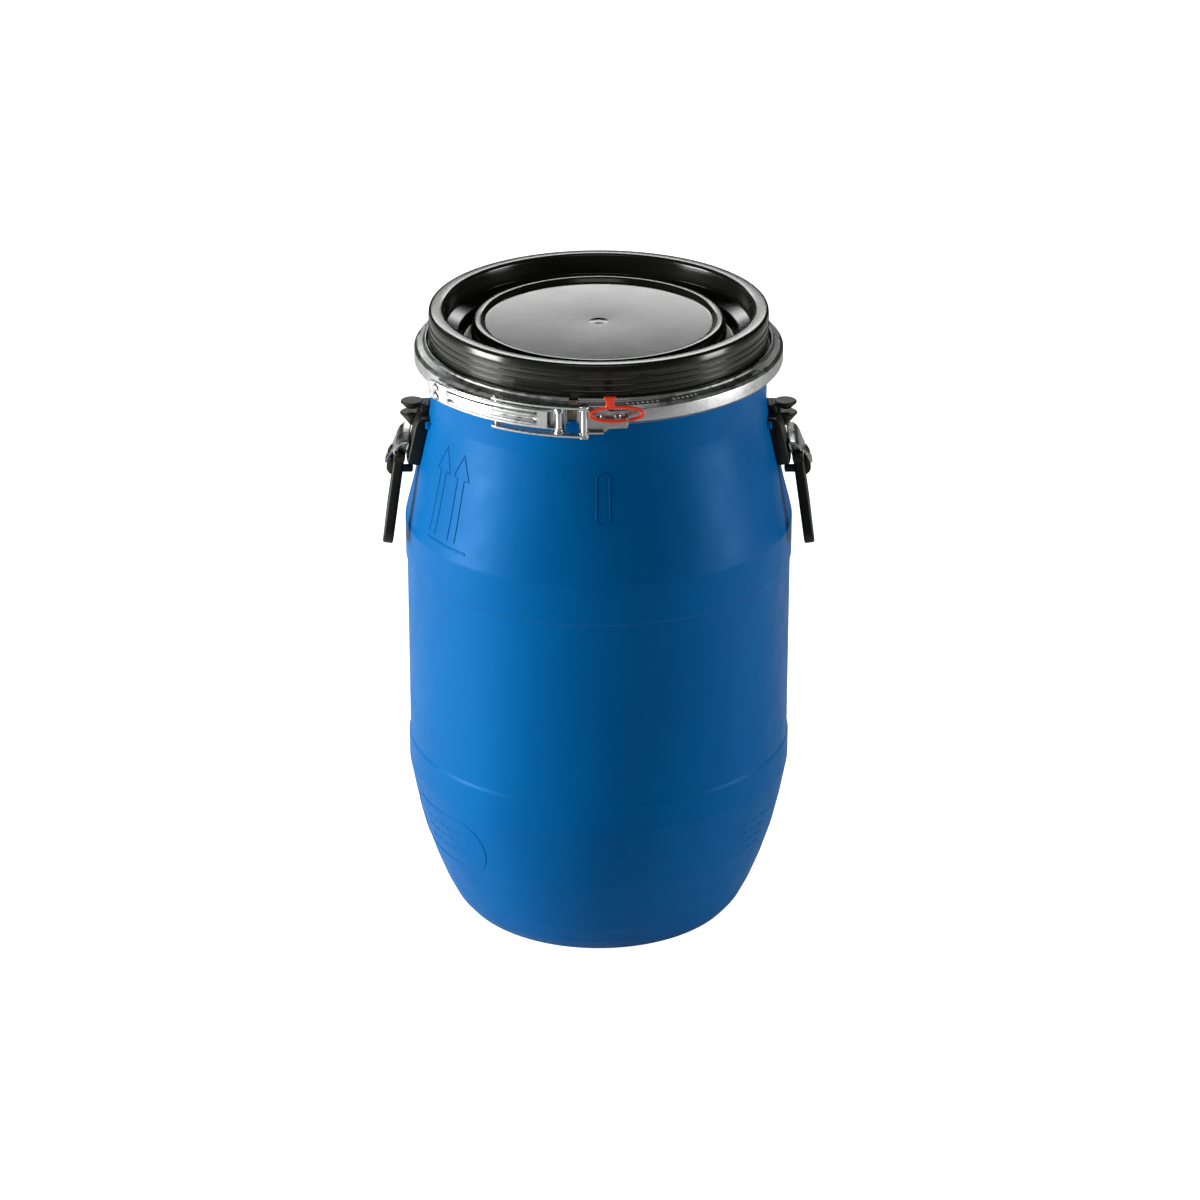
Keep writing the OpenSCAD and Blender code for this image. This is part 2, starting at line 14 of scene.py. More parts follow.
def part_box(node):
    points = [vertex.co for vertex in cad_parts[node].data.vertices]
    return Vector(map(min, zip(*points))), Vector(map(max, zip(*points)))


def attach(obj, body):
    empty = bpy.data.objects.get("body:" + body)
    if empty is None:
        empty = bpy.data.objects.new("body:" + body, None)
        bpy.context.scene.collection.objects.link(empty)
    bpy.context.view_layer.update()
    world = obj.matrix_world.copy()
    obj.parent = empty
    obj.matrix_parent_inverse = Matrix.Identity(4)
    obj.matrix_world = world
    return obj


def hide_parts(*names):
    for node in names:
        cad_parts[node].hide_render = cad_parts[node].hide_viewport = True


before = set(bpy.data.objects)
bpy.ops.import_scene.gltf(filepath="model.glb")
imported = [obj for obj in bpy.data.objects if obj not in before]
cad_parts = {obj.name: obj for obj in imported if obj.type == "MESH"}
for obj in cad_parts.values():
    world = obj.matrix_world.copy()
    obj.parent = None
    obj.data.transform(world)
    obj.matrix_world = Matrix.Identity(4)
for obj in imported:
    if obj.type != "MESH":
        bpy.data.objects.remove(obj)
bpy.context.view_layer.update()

MM = 0.001
ROOT = "drum"


def node_box(node):
    """Lowest and highest corner of a CAD node in millimetres."""
    low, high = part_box(node)
    return Vector(low) / MM, Vector(high) / MM


# ---------------------------------------------------------------- driving sizes

shell_high = node_box("drum_shell")[1]
lid_high = node_box("lid")[1]
ring_low, ring_high = node_box("closure_ring")
lever_low, lever_high = node_box("lever")
straps_low, straps_high = node_box("link_straps")
pin_low, pin_high = node_box("handle_pin_right")
bail_low, bail_high = node_box("bail_right")
plate_high = node_box("handle_base_right")[1]
steel_high = node_box("handle_bracket_right")[1]

# drum and lid
TOP = lid_high.z
BODY_R = shell_high.x
NECK_R = BODY_R * 0.858
FOOT_R = BODY_R * 0.675
LIP_TOP = shell_high.z
WALL = 3.0
BORE_R = NECK_R - 7.5
PART_Z = TOP - 37.6         # height between the drum's flange and the lid's flange
FLANGE_R = lid_high.x
LID_R = BODY_R * 0.8645
FLANGE_PLAY = 0.5           # gap between each flange and the ring's lip

# shoulder cone, between two heights and the radii there
SHOULDER_TOP = TOP - 85
SHOULDER_Z = TOP - 168
CONE_Z0 = SHOULDER_TOP - 2
CONE_Z1 = SHOULDER_Z + 20
CONE_R0 = NECK_R + 1.6
CONE_R1 = NECK_R + 15.4

# closure ring
RING_R = 145.5
RING_Z = (ring_low.z + ring_high.z) / 2
RING_WALL = 5.5             # half height of the ring's upright wall
LIP_SLOPE = 0.602           # rise of a lip for each millimetre inwards
GAP = (6.5, 9.5)            # azimuths where the ring is split

# lever, link and brackets
SHEET = 1.6
LEVER_Z = (lever_low.z + lever_high.z) / 2
LEVER_HALF = (lever_high.z - lever_low.z) / 2
STRAP_OUT = (straps_high.z - straps_low.z) / 2
STRAP_T = 1.8
EAR_R = 3.85
BRACKET_PLAY = 0.4          # between the lever's flange and a bracket's ear
EAR_Z = LEVER_HALF + BRACKET_PLAY + SHEET / 2
PLATE_R = RING_R + 0.1      # inner face of the plates on the ring
PIN_R = 151.0
PIN_D = 5.0
LINK_R = 148.4
LINK_PIN_D = 4.0
FULCRUM_A = 11.5
LINK_A = 31.5
DRAW_A = 4.2
TIP_A = 60.5
LEVER_FACE_R = PIN_R + 1.2

# seal
SEAL_A = -5.2
SEAL_R = 150.4
SEAL_Z = TOP - 33
SEAL_HALF_W = 20.0
SEAL_HALF_H = 5.7
SEAL_STEM = -5.0            # place of the tab's stem along the loop
SEAL_LUG_A = -8.2

# handles
PIVOT_X = (pin_low.x + pin_high.x) / 2
PIVOT_Z = (pin_low.z + pin_high.z) / 2
STEEL_HALF = steel_high.y
PAD_HALF = plate_high.y
PAD_T = 10.5
PAD_LOW = CONE_Z0 - 39.5
FOLD_Z = PIVOT_Z + 13.8
CHEEK_OUT = 16.1
HANDLE_PIN_R = 2.5
HUB_R = 4.6
HUB_W = 8.4
HUB_Y = CHEEK_OUT + 0.5 + HUB_W / 2
BUMPER_HALF = 8.0
BUMPER_R = 6.3
RIVET_Z = PIVOT_Z + 6.6
BAIL_LEAN = 8.4


def lip_gap(r):
    """Height over the ring's middle that a flange may reach at radius r, under the ring's sloping lip."""
    corner_r = RING_R - 1.5
    corner_z = RING_WALL - 0.9
    return corner_z + (corner_r - r) * LIP_SLOPE - FLANGE_PLAY


def cone_radius(z):
    """Outer radius of the shoulder cone at a height."""
    return CONE_R0 + (CONE_Z0 - z) * (CONE_R1 - CONE_R0) / (CONE_Z0 - CONE_Z1)


def turned(azimuth, r, z):
    """Point on a circle round the drum's axis."""
    a = math.radians(azimuth)
    return (-r * math.sin(a), -r * math.cos(a), z)


QUARTER_X = Matrix.Rotation(math.pi / 2, 4, "X")
QUARTER_Y = Matrix.Rotation(math.pi / 2, 4, "Y")
QUARTER_Z = Matrix.Rotation(math.pi / 2, 4, "Z")


# ---------------------------------------------------------------- shapes in the plane

def arc(cx, cy, radius, first, last, steps=8):
    """Points of an arc, angles in degrees."""
    points = []
    for i in range(steps + 1):
        t = math.radians(first + (last - first) * i / steps)
        points.append((cx + radius * math.cos(t), cy + radius * math.sin(t)))
    return points


def rounded(corners, steps=6, closed=True):
    """Outline through the corners (x, y) or (x, y, radius), each radius cut in as a tangent arc."""
    count = len(corners)
    points = []
    for i, corner in enumerate(corners):
        here = Vector(corner[:2])
        radius = corner[2] if len(corner) > 2 else 0.0
        at_end = not closed and i in (0, count - 1)
        if radius <= 0 or at_end:
            points.append(tuple(here))
            continue
        before = Vector(corners[i - 1][:2]) - here
        after = Vector(corners[(i + 1) % count][:2]) - here
        half = before.angle(after) / 2
        room = 0.49 * min(before.length, after.length)
        reach = min(radius / math.tan(half), room) if half > 0.01 else room
        start = here + before.normalized() * reach
        stop = here + after.normalized() * reach
        for k in range(steps + 1):
            t = k / steps
            points.append(tuple(start.lerp(here, t).lerp(here.lerp(stop, t), t)))
    return points


def band(path, thickness):
    """Outline of a sheet of that thickness whose one face runs along path."""
    other = []
    for i, point in enumerate(path):
        before = Vector(path[max(i - 1, 0)])
        after = Vector(path[min(i + 1, len(path) - 1)])
        along = (after - before).normalized()
        other.append((point[0] - along.y * thickness, point[1] + along.x * thickness))
    return list(path) + other[::-1]


def ellipse(half_w, half_h, power=2.0, steps=96):
    """Closed outline of an ellipse; a power above 2 makes it squarer."""
    points = []
    for i in range(steps):
        t = 2 * math.pi * i / steps
        c, s = math.cos(t), math.sin(t)
        x = half_w * math.copysign(abs(c) ** (2 / power), c)
        y = half_h * math.copysign(abs(s) ** (2 / power), s)
        points.append((x, y))
    return points


# ---------------------------------------------------------------- meshes

def place(azimuth, radius=0.0, z=0.0):
    """Frame at an azimuth: local +X points outward, and local +Y to the right as seen from the front."""
    turn = Matrix.Rotation(math.radians(-90 - azimuth), 4, "Z")
    return turn @ Matrix.Translation((radius, 0, z))


def make(name, verts, faces, to=None, sharp=32.0):
    """Mesh object from points in millimetres, shaded smooth except over edges sharper than the angle."""
    to = to or Matrix.Identity(4)
    mesh = bpy.data.meshes.new(name)
    mesh.from_pydata([(to @ Vector(v)) * MM for v in verts], [], faces)
    work = bmesh.new()
    work.from_mesh(mesh)
    bmesh.ops.remove_doubles(work, verts=work.verts, dist=1e-7)
    bmesh.ops.recalc_face_normals(work, faces=work.faces)
    work.to_mesh(mesh)
    work.free()
    for face in mesh.polygons:
        face.use_smooth = True
    mesh.set_sharp_from_angle(angle=math.radians(sharp))
    item = bpy.data.objects.new(name, mesh)
    bpy.context.scene.collection.objects.link(item)
    return item


def bevel(item, width, segments=3, angle=35.0):
    """Rounded edges of that width in millimetres."""
    mod = item.modifiers.new("edges", "BEVEL")
    mod.width = width * MM
    mod.segments = segments
    mod.limit_method = "ANGLE"
    mod.angle_limit = math.radians(angle)
    mod.harden_normals = True
    return item


def lathe(name, profile, to=None, steps=192, first=0.0, turn=360.0, closed=True):
    """Turned piece: the profile of (radius, z) points goes round the Z axis."""
    whole = turn >= 359.99
    rows = steps if whole else steps + 1
    count = len(profile)
    verts = []
    for i in range(rows):
        verts += [turned(first + turn * i / steps, r, z) for r, z in profile]
    faces = []
    for i in range(steps):
        j = (i + 1) % rows
        for k in range(count if closed else count - 1):
            n = (k + 1) % count
            faces.append((i * count + k, i * count + n, j * count + n, j * count + k))
    if closed and not whole:
        faces.append(tuple(range(count)))
        faces.append(tuple((rows - 1) * count + k for k in range(count)))
    return make(name, verts, faces, to)


def slab(name, outline, low, high, to=None):
    """Flat piece: the outline in x and y between two heights."""
    count = len(outline)
    verts = [(x, y, low) for x, y in outline] + [(x, y, high) for x, y in outline]
    faces = [tuple(range(count)), tuple(range(count, 2 * count))]
    faces += [(k, (k + 1) % count, count + (k + 1) % count, count + k) for k in range(count)]
    return make(name, verts, faces, to)


def sweep(name, path, section, normal, closed, to=None):
    """The section (across, along the normal) follows a path that lies in a plane with that normal."""
    normal = Vector(normal)
    rows = len(path)
    count = len(section)
    verts = []
    for i, point in enumerate(path):
        before = Vector(path[(i - 1) % rows]) if closed or i else Vector(point)
        after = Vector(path[(i + 1) % rows]) if closed or i < rows - 1 else Vector(point)
        across = normal.cross((after - before).normalized())
        verts += [Vector(point) + across * u + normal * v for u, v in section]
    faces = []
    for i in range(rows if closed else rows - 1):
        j = (i + 1) % rows
        for k in range(count):
            n = (k + 1) % count
            faces.append((i * count + k, i * count + n, j * count + n, j * count + k))
    if not closed:
        faces.append(tuple(range(count)))
        faces.append(tuple((rows - 1) * count + k for k in range(count)))
    return make(name, verts, faces, to)


def surface(name, point, columns, rows, thickness, to=None):
    """Pressed sheet: point(u, v) with u and v from 0 to 1 gives its outer face."""
    verts = [point(i / columns, j / rows) for i in range(columns + 1) for j in range(rows + 1)]
    faces = []
    for i in range(columns):
        for j in range(rows):
            a = i * (rows + 1) + j
            faces.append((a, a + 1, a + rows + 2, a + rows + 1))
    item = make(name, verts, faces, to, sharp=180)
    mod = item.modifiers.new("sheet", "SOLIDIFY")
    mod.thickness = thickness * MM
    mod.offset = -1.0
    return item


def join(name, items):
    """One object from several, modifiers applied first."""
    graph = bpy.context.evaluated_depsgraph_get()
    work = bmesh.new()
    for item in items:
        done = item.evaluated_get(graph)
        work.from_mesh(done.to_mesh())
        done.to_mesh_clear()
    mesh = bpy.data.meshes.new(name)
    work.to_mesh(mesh)
    work.free()
    for item in items:
        bpy.data.objects.remove(item)
    for face in mesh.polygons:
        face.use_smooth = True
    mesh.set_sharp_from_angle(angle=math.radians(32))
    whole = bpy.data.objects.new(name, mesh)
    bpy.context.scene.collection.objects.link(whole)
    return whole


def dress(item, body, slot, material, *nodes):
    """Material, body and the CAD nodes that the piece stands for; the slot argument is not used."""
    item.data.materials.clear()
    item.data.materials.append(material)
    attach(item, body)
    if nodes:
        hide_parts(*nodes)
    return item


# ---------------------------------------------------------------- materials

def shader(name):
    """New node material; returns it, its nodes, its links and its main shader."""
    material = bpy.data.materials.new(name)
    material.use_nodes = True
    nodes = material.node_tree.nodes
    return material, nodes, material.node_tree.links, nodes["Principled BSDF"]


def noise(nodes, links, scale, detail=3.0, stretch=None):
    """Noise over the piece's own coordinates, in metres; stretch squeezes the pattern along the axes."""
    coords = nodes.new("ShaderNodeTexCoord")
    texture = nodes.new("ShaderNodeTexNoise")
    texture.inputs["Scale"].default_value = scale
    texture.inputs["Detail"].default_value = detail
    source = coords.outputs["Object"]
    if stretch:
        mapping = nodes.new("ShaderNodeMapping")
        mapping.inputs["Scale"].default_value = stretch
        links.new(source, mapping.inputs["Vector"])
        source = mapping.outputs["Vector"]
    links.new(source, texture.inputs["Vector"])
    return texture


def ramp(nodes, links, source, stops):
    """Colour ramp over a value; stops are (position, colour or grey)."""
    item = nodes.new("ShaderNodeValToRGB")
    elements = item.color_ramp.elements
    while len(elements) < len(stops):
        elements.new(0.5)
    for element, (position, value) in zip(elements, stops):
        element.position = position
        element.color = (*value, 1.0) if isinstance(value, tuple) else (value, value, value, 1.0)
    links.new(source, item.inputs["Fac"])
    return item.outputs["Color"]


def bump(nodes, links, main, layers):
    """Fine relief from (texture value, depth in millimetres) layers."""
    last = None
    for value, depth in layers:
        item = nodes.new("ShaderNodeBump")
        item.inputs["Strength"].default_value = 1.0
        item.inputs["Distance"].default_value = depth * MM
        links.new(value, item.inputs["Height"])
        if last:
            links.new(last, item.inputs["Normal"])
        last = item.outputs["Normal"]
    links.new(last, main.inputs["Normal"])


def plastic(name, dark, light, rough, grain=0.03, wave=0.15, specular=0.5, tint=(1, 1, 1), patchy=1.0):
    """Moulded plastic: cloudy colour, patchy gloss, a fine grain and the slow waves of the moulding."""
    material, nodes, links, main = shader(name)
    cloud = noise(nodes, links, 14.0, 5.0, (1.0, 1.0, 0.4))
    colour = ramp(nodes, links, cloud.outputs["Fac"], [(0.35, dark), (0.7, light)])
    links.new(colour, main.inputs["Base Color"])
    patch = noise(nodes, links, 45.0, 6.0)
    smooth, dull = rough - 0.05 * patchy, rough + 0.07 * patchy
    gloss = ramp(nodes, links, patch.outputs["Fac"], [(0.3, smooth), (0.75, dull)])
    links.new(gloss, main.inputs["Roughness"])
    fine = noise(nodes, links, 1400.0, 2.0)
    slow = noise(nodes, links, 22.0, 2.0)
    bump(nodes, links, main, [(slow.outputs["Fac"], wave), (fine.outputs["Fac"], grain)])
    main.inputs["Specular IOR Level"].default_value = specular
    main.inputs["Specular Tint"].default_value = (*tint, 1.0)
    return material


def galvanised(name, dark, light, rough, crystal=260.0, dent=0.1):
    """Zinc-coated sheet: crystals of slightly different grey, rubbed streaks and small dents."""
    material, nodes, links, main = shader(name)
    coords = nodes.new("ShaderNodeTexCoord")
    cells = nodes.new("ShaderNodeTexVoronoi")
    cells.inputs["Scale"].default_value = crystal
    links.new(coords.outputs["Object"], cells.inputs["Vector"])
    spangle = ramp(nodes, links, cells.outputs["Color"], [(0.2, dark), (0.8, light)])
    rubbed = noise(nodes, links, 60.0, 5.0, (1.0, 1.0, 5.0))
    shade = ramp(nodes, links, rubbed.outputs["Fac"], [(0.3, 0.88), (0.62, 1.0)])
    mix = nodes.new("ShaderNodeMix")
    mix.data_type = "RGBA"
    mix.blend_type = "MULTIPLY"
    mix.inputs["Factor"].default_value = 0.8
    first, second, result = mix.inputs[6], mix.inputs[7], mix.outputs[2]    # its colour sockets
    links.new(spangle, first)
    links.new(shade, second)
    links.new(result, main.inputs["Base Color"])
    patch = noise(nodes, links, 160.0, 5.0)
    gloss = ramp(nodes, links, patch.outputs["Fac"], [(0.3, rough - 0.08), (0.72, rough + 0.12)])
    links.new(gloss, main.inputs["Roughness"])
    main.inputs["Metallic"].default_value = 1.0
    dents = noise(nodes, links, 70.0, 3.0)
    bump(nodes, links, main, [(dents.outputs["Fac"], dent), (patch.outputs["Fac"], 0.03)])
    return material


blue = plastic(
    "blue_hdpe", dark=(0.000, 0.085, 0.265), light=(0.000, 0.100, 0.300), rough=0.40,
    grain=0.02, wave=0.15, specular=0.15, tint=(0.05, 0.4, 1.0))
black_lid = plastic(
    "black_lid", dark=(0.010, 0.011, 0.008), light=(0.013, 0.014, 0.010), rough=0.18,
    grain=0.003, wave=0.02, specular=0.4, patchy=0.3)
black_bail = plastic(
    "black_bail", dark=(0.010, 0.011, 0.008), light=(0.015, 0.016, 0.011), rough=0.45,
    grain=0.02, wave=0.08, specular=0.25)
red = plastic(
    "red_seal", dark=(0.80, 0.045, 0.012), light=(0.95, 0.07, 0.02), rough=0.38, grain=0.01, wave=0.05)
foam = plastic(
    "grey_foam", dark=(0.05, 0.05, 0.055), light=(0.09, 0.09, 0.095), rough=0.85, grain=0.15, wave=0.2)
zinc = galvanised(
    "galvanised_sheet", dark=(0.50, 0.51, 0.50), light=(0.58, 0.59, 0.58), rough=0.34,
    crystal=700.0, dent=0.06)
zinc_bright = galvanised(
    "galvanised_bright", dark=(0.56, 0.57, 0.56), light=(0.66, 0.67, 0.66), rough=0.30,
    crystal=700.0, dent=0.08)
# darker, warmer copy of the galvanised sheet: painted shade and a painted brown reflection for the strip in
# the ring's gap
zinc_painted_reflection = galvanised(
    "galvanised_painted_reflection", dark=(0.20, 0.16, 0.12), light=(0.30, 0.25, 0.20), rough=0.45,
    crystal=320.0, dent=0.05)


# ---------------------------------------------------------------- drum

BAND_Z = TOP - 208          # a slightly sunk panel lies between these two steps
LOWER_Z = TOP * 0.30
PANEL_R = BODY_R - 1.2
BELLY_Z = TOP * 0.245       # the wall starts to draw in towards the foot


def outer_corners():
    """Outer line of the shell from the foot to the neck: (radius, z, rounding)."""
    return [
        (FOOT_R, 0.3, 4),
        (FOOT_R + 7, 4, 8),
        (FOOT_R + 14.5, 13, 20),
        (FOOT_R + 22.5, 29, 40),
        (FOOT_R + 31, 51, 60),
        (FOOT_R + 39, 76, 80),
        (FOOT_R + 45, 102, 90),
        (BODY_R - 1.4, BELLY_Z - 3, 40),
        (BODY_R - 0.1, BELLY_Z + 4, 20),
        (BODY_R - 0.1, LOWER_Z - 2.4, 1.5),
        (PANEL_R, LOWER_Z, 1.5),
        (PANEL_R, BAND_Z, 1.5),
        (BODY_R - 0.1, BAND_Z + 2.4, 1.5),
        (BODY_R - 0.1, SHOULDER_Z - 6, 10),
        (BODY_R - 2.4, SHOULDER_Z + 4, 14),
        (CONE_R1, CONE_Z1, 60),
        (CONE_R0, CONE_Z0, 30),
        (NECK_R, SHOULDER_TOP + 8, 20),
        (NECK_R, RING_Z - lip_gap(NECK_R + 2), 2),
    ]


def wall_radius(z):
    """Outer radius of the shell at a height."""
    line = outer_corners()
    for (r0, z0, _), (r1, z1, _) in zip(line, line[1:]):
        if z0 <= z <= z1:
            return r0 + (r1 - r0) * (z - z0) / (z1 - z0)
    return NECK_R


def shell():
    """Blow-moulded body: outer wall, flange, plain lip, inner wall and a raised bottom."""
    inner = [(r - WALL, z, rounding) for r, z, rounding in outer_corners()[:1:-1]]
    corners = outer_corners() + [
        (FLANGE_R, RING_Z - lip_gap(FLANGE_R), 0.8),
        (FLANGE_R, PART_Z - 1, 0.8),
        (NECK_R + 1.5, PART_Z, 0.5),
        (NECK_R - 3.4, PART_Z + 2, 0.5),
        (NECK_R - 3.4, LIP_TOP, 1),
        (BORE_R, LIP_TOP, 1),
        (BORE_R, PART_Z - 12, 2),
    ] + inner + [
        (FOOT_R + 5, WALL + 2.5, 3),
        (FOOT_R - 4, WALL + 1.5, 4),
        (0, WALL + 4.5),
        (0, 3),
        (FOOT_R - 12, 3, 3),
        (FOOT_R - 6, 0.0, 2),
    ]
    return lathe("drum_body", rounded(corners), steps=256)


def on_wall(azimuth, z):
    """Point on the outer wall."""
    return Vector(turned(azimuth, wall_radius(z), z))


def wall_line(name, points, width, height, closed=False):
    """Raised moulding line through (azimuth, z) points: a low round bead lying on the wall."""
    degree = 2.6            # millimetres along the wall
    longest = 2.5
    dense = []
    count = len(points)
    for i in range(count if closed else count - 1):
        start, stop = points[i], points[(i + 1) % count]
        length = math.hypot((stop[0] - start[0]) * degree, stop[1] - start[1])
        steps = max(1, int(length / longest))
        dense += [tuple(s + (e - s) * k / steps for s, e in zip(start, stop)) for k in range(steps)]
    if not closed:
        dense.append(points[-1])
    rows = len(dense)
    verts = []
    foot, shoulder = width / 2, width / 3
    section = [(-foot, -0.5), (-shoulder, height * 0.7), (0, height), (shoulder, height * 0.7), (foot, -0.5)]
    count = len(section)
    for i, (a, z) in enumerate(dense):
        here = on_wall(a, z)
        before = on_wall(*dense[(i - 1) % rows]) if closed or i else here
        after = on_wall(*dense[(i + 1) % rows]) if closed or i < rows - 1 else here
        out = Vector((here.x, here.y, 0)).normalized()
        side = out.cross((after - before).normalized())
        verts += [here + side * u + out * v for u, v in section]
    faces = []
    for i in range(rows if closed else rows - 1):
        j = (i + 1) % rows
        for k in range(count - 1):
            faces.append((i * count + k, i * count + k + 1, j * count + k + 1, j * count + k))
    return make(name, verts, faces)


def arrow(azimuth, foot, height, half_w):
    """Outline of a "this way up" arrow; half_w in degrees."""
    head = foot + height * 0.72
    stem = half_w * 0.42
    return [
        (azimuth - stem, foot), (azimuth - stem, head), (azimuth - half_w, head),
        (azimuth, foot + height),
        (azimuth + half_w, head), (azimuth + stem, head), (azimuth + stem, foot)]


def capsule(azimuth, middle, half_w, half_h):
    """Upright rounded outline on the wall; half_w in degrees."""
    degree = 2.55           # millimetres along the shoulder
    r = half_w * degree
    top = [(azimuth + x / degree, middle + half_h - r + y) for x, y in arc(0, 0, r, 0, 180, 10)]
    bottom = [(azimuth + x / degree, middle - half_h + r + y) for x, y in arc(0, 0, r, 180, 360, 10)]
    return top + bottom


def stadium(first, last, middle, half_h):
    """Outline of a bar with round ends lying on the wall between two azimuths."""
    degree = 2.5            # millimetres along the lower wall
    reach = half_h / degree
    right = [(first + reach + x / degree, middle + y) for x, y in arc(0, 0, half_h, 270, 90, 16)]
    left = [(last - reach + x / degree, middle + y) for x, y in arc(0, 0, half_h, 90, -90, 16)]
    return right + left


def dashes(name, first, pitch, length, columns, top_z, row_pitch, rows, size):
    """Rows of short plain lines; azimuths step by pitch and heights by row_pitch."""
    items = []
    for row in range(rows):
        for n in range(columns):
            a = first + n * pitch
            z = top_z - row * row_pitch
            items.append(wall_line(f"{name}_{row}_{n}", [(a, z), (a + length, z)], *size))
    return items


def pad_lugs():
    """Small moulded block beside each upper corner of the two handle pads."""
    items = []
    block = [(-2.6, -1.6), (2.6, -1.6), (2.6, 1.6), (-2.6, 1.6)]
    x = cone_radius(CONE_Z0) - 0.6
    y = PAD_HALF + 2.4
    for sx in (-1, 1):
        for sy in (-1, 1):
            corner = Matrix.Translation((sx * x, sy * y, CONE_Z0 - 3))
            items.append(bevel(slab(f"pad_lug_{sx + 1}_{sy + 1}", block, -4, 2, corner), 1.0, 3))
    return items


def wall_marks():
    """Handling arrows, empty date and rating frames, plain dashes for a moulder's plate, and the pad lugs."""
    arrow_foot = SHOULDER_Z + 8
    arrow_bar = SHOULDER_Z + 2.5
    frame_z = SHOULDER_Z + 61
    low = TOP * 0.176
    items = []
    for n, a in enumerate((59.6, 49.8)):
        items.append(wall_line(f"arrow_{n}", arrow(a, arrow_foot, 68, 3.9), 1.1, 0.55))
    items.append(wall_line("arrow_base", [(61.5, arrow_bar), (43, arrow_bar)], 3.0, 0.6))
    items.append(wall_line("frame_middle", capsule(-1.3, frame_z, 2.1, 20), 0.9, 0.5, True))
    items.append(wall_line("frame_low", stadium(38, 78, low, 22), 1.0, 0.5, True))
    items += dashes("dash_left", 45, 4, 2.4, 6, low + 9, 9, 3, (1.3, 0.45))
    items += dashes("dash_right", -50, -5, -3.2, 3, low + 16, 9, 4, (1.2, 0.4))
    return join("drum_marks", items + pad_lugs())


# ---------------------------------------------------------------- lid

def lid_marks():
    """Two slanting strips and two dots on the skirt."""
    items = []
    half, slant, thick = 5.2, 1.4, 1.3
    for a, lean in ((9.3, 1), (-16.2, -1)):
        rise = slant * lean
        strip = [(-half, -rise), (half, rise), (half, rise + thick), (-half, thick - rise)]
        spot = place(a, LID_R, TOP - 11) @ QUARTER_Z @ QUARTER_X
        items.append(slab(f"lid_mark_{a}", strip, -0.5, 0.35, spot))
    dot = [(0, 0.5), (0.5, 0.4), (0.9, 0), (0.9, -0.6), (0, -0.6)]
    for a in (-0.9, -6.2):
        spot = place(a, LID_R - 0.4, TOP - 21.5) @ QUARTER_Y
        items.append(lathe(f"lid_dot_{a}", dot, spot, 16))
    return items


def lid():
    """Turned lid: ribbed skirt, round rim, stepped recess with a bead round the disc, and a plug below."""
    rim_in = LID_R - 12.5
    disc_r = 89.0
    disc_z = TOP - 13
    bead_r = disc_r + 10.5
    bead_z = disc_z + 3.6
    groove = TOP - 29
    skirt_r = LID_R - 0.5
    slot_z = TOP - 9.2      # the drum's lip goes up into the slot under here
    skirt = []
    for z in (PART_Z + 16, PART_Z + 21, PART_Z + 26):
        rib = ((skirt_r, -1.0), (LID_R, -0.5), (LID_R, 0.5), (skirt_r, 1.0))
        skirt += [(r, z + dz, 0.4) for r, dz in rib]
    corners = [
        (LID_R - 3, PART_Z + 2),
        (FLANGE_R - 1, PART_Z + 0.8, 0.5),
        (FLANGE_R, PART_Z + 1.8, 0.5),
        (FLANGE_R, RING_Z + lip_gap(FLANGE_R), 0.8),
        (skirt_r, RING_Z + lip_gap(LID_R), 1),
    ] + skirt + [
        (skirt_r, TOP - 8, 1),
        (LID_R, TOP - 6, 3),
        (LID_R - 0.6, TOP, 5.5),
        (rim_in + 0.6, TOP, 5.0),
        (rim_in, TOP - 6, 2),
        (rim_in - 1.2, TOP - 16, 1.2),
        (rim_in - 11, TOP - 20.5, 2),
        (rim_in - 14, groove, 2),
        (bead_r + 2.5, groove, 2),
        (bead_r + 0.4, disc_z - 1, 3),
        (bead_r - 1.5, bead_z, 3.2),
        (bead_r - 7, bead_z, 3.5),
        (disc_r + 0.8, disc_z, 2),
        (7.5, disc_z, 4),
        (3.2, disc_z + 0.45, 2.5),
        (0, disc_z + 0.6),
        (0, disc_z - WALL),
        (bead_r - 4, disc_z - WALL, 1),
        (bead_r - 1.2, groove - WALL, 1),
        (rim_in - 11.4, groove - WALL, 1),
        (rim_in - 8.2, TOP - 23, 1),
        (BORE_R - 1.5, TOP - 19, 1),
        (BORE_R - 1.5, slot_z - 1, 0.5),
        (BORE_R - 0.4, slot_z, 0.5),
        (NECK_R - 3, slot_z, 0.5),
        (NECK_R - 2.4, slot_z - 1, 0.5),
        (NECK_R - 2.4, PART_Z + 3.2),
    ]
    return join("lid_moulding", [lathe("lid_turned", rounded(corners), steps=256)] + lid_marks())


# ---------------------------------------------------------------- closure ring

def ring_dots():
    """Two groups of small raised dots on the upper lip."""
    dot = [(0, 0.55), (0.7, 0.45), (1.15, 0.1), (1.3, -0.5), (0, -0.5)]
    first, pitch, in_first, group_gap = -9.0, 1.55, 7, 4.0
    items = []
    for n in range(13):
        a = first - n * pitch - (group_gap if n >= in_first else 0.0)
        spot = place(a, RING_R - 4.6, RING_Z + RING_WALL + 2.9)
        spot = spot @ Matrix.Rotation(math.radians(21), 4, "Y")
        items.append(lathe(f"ring_dot_{n}", dot, spot, 16))
    return items


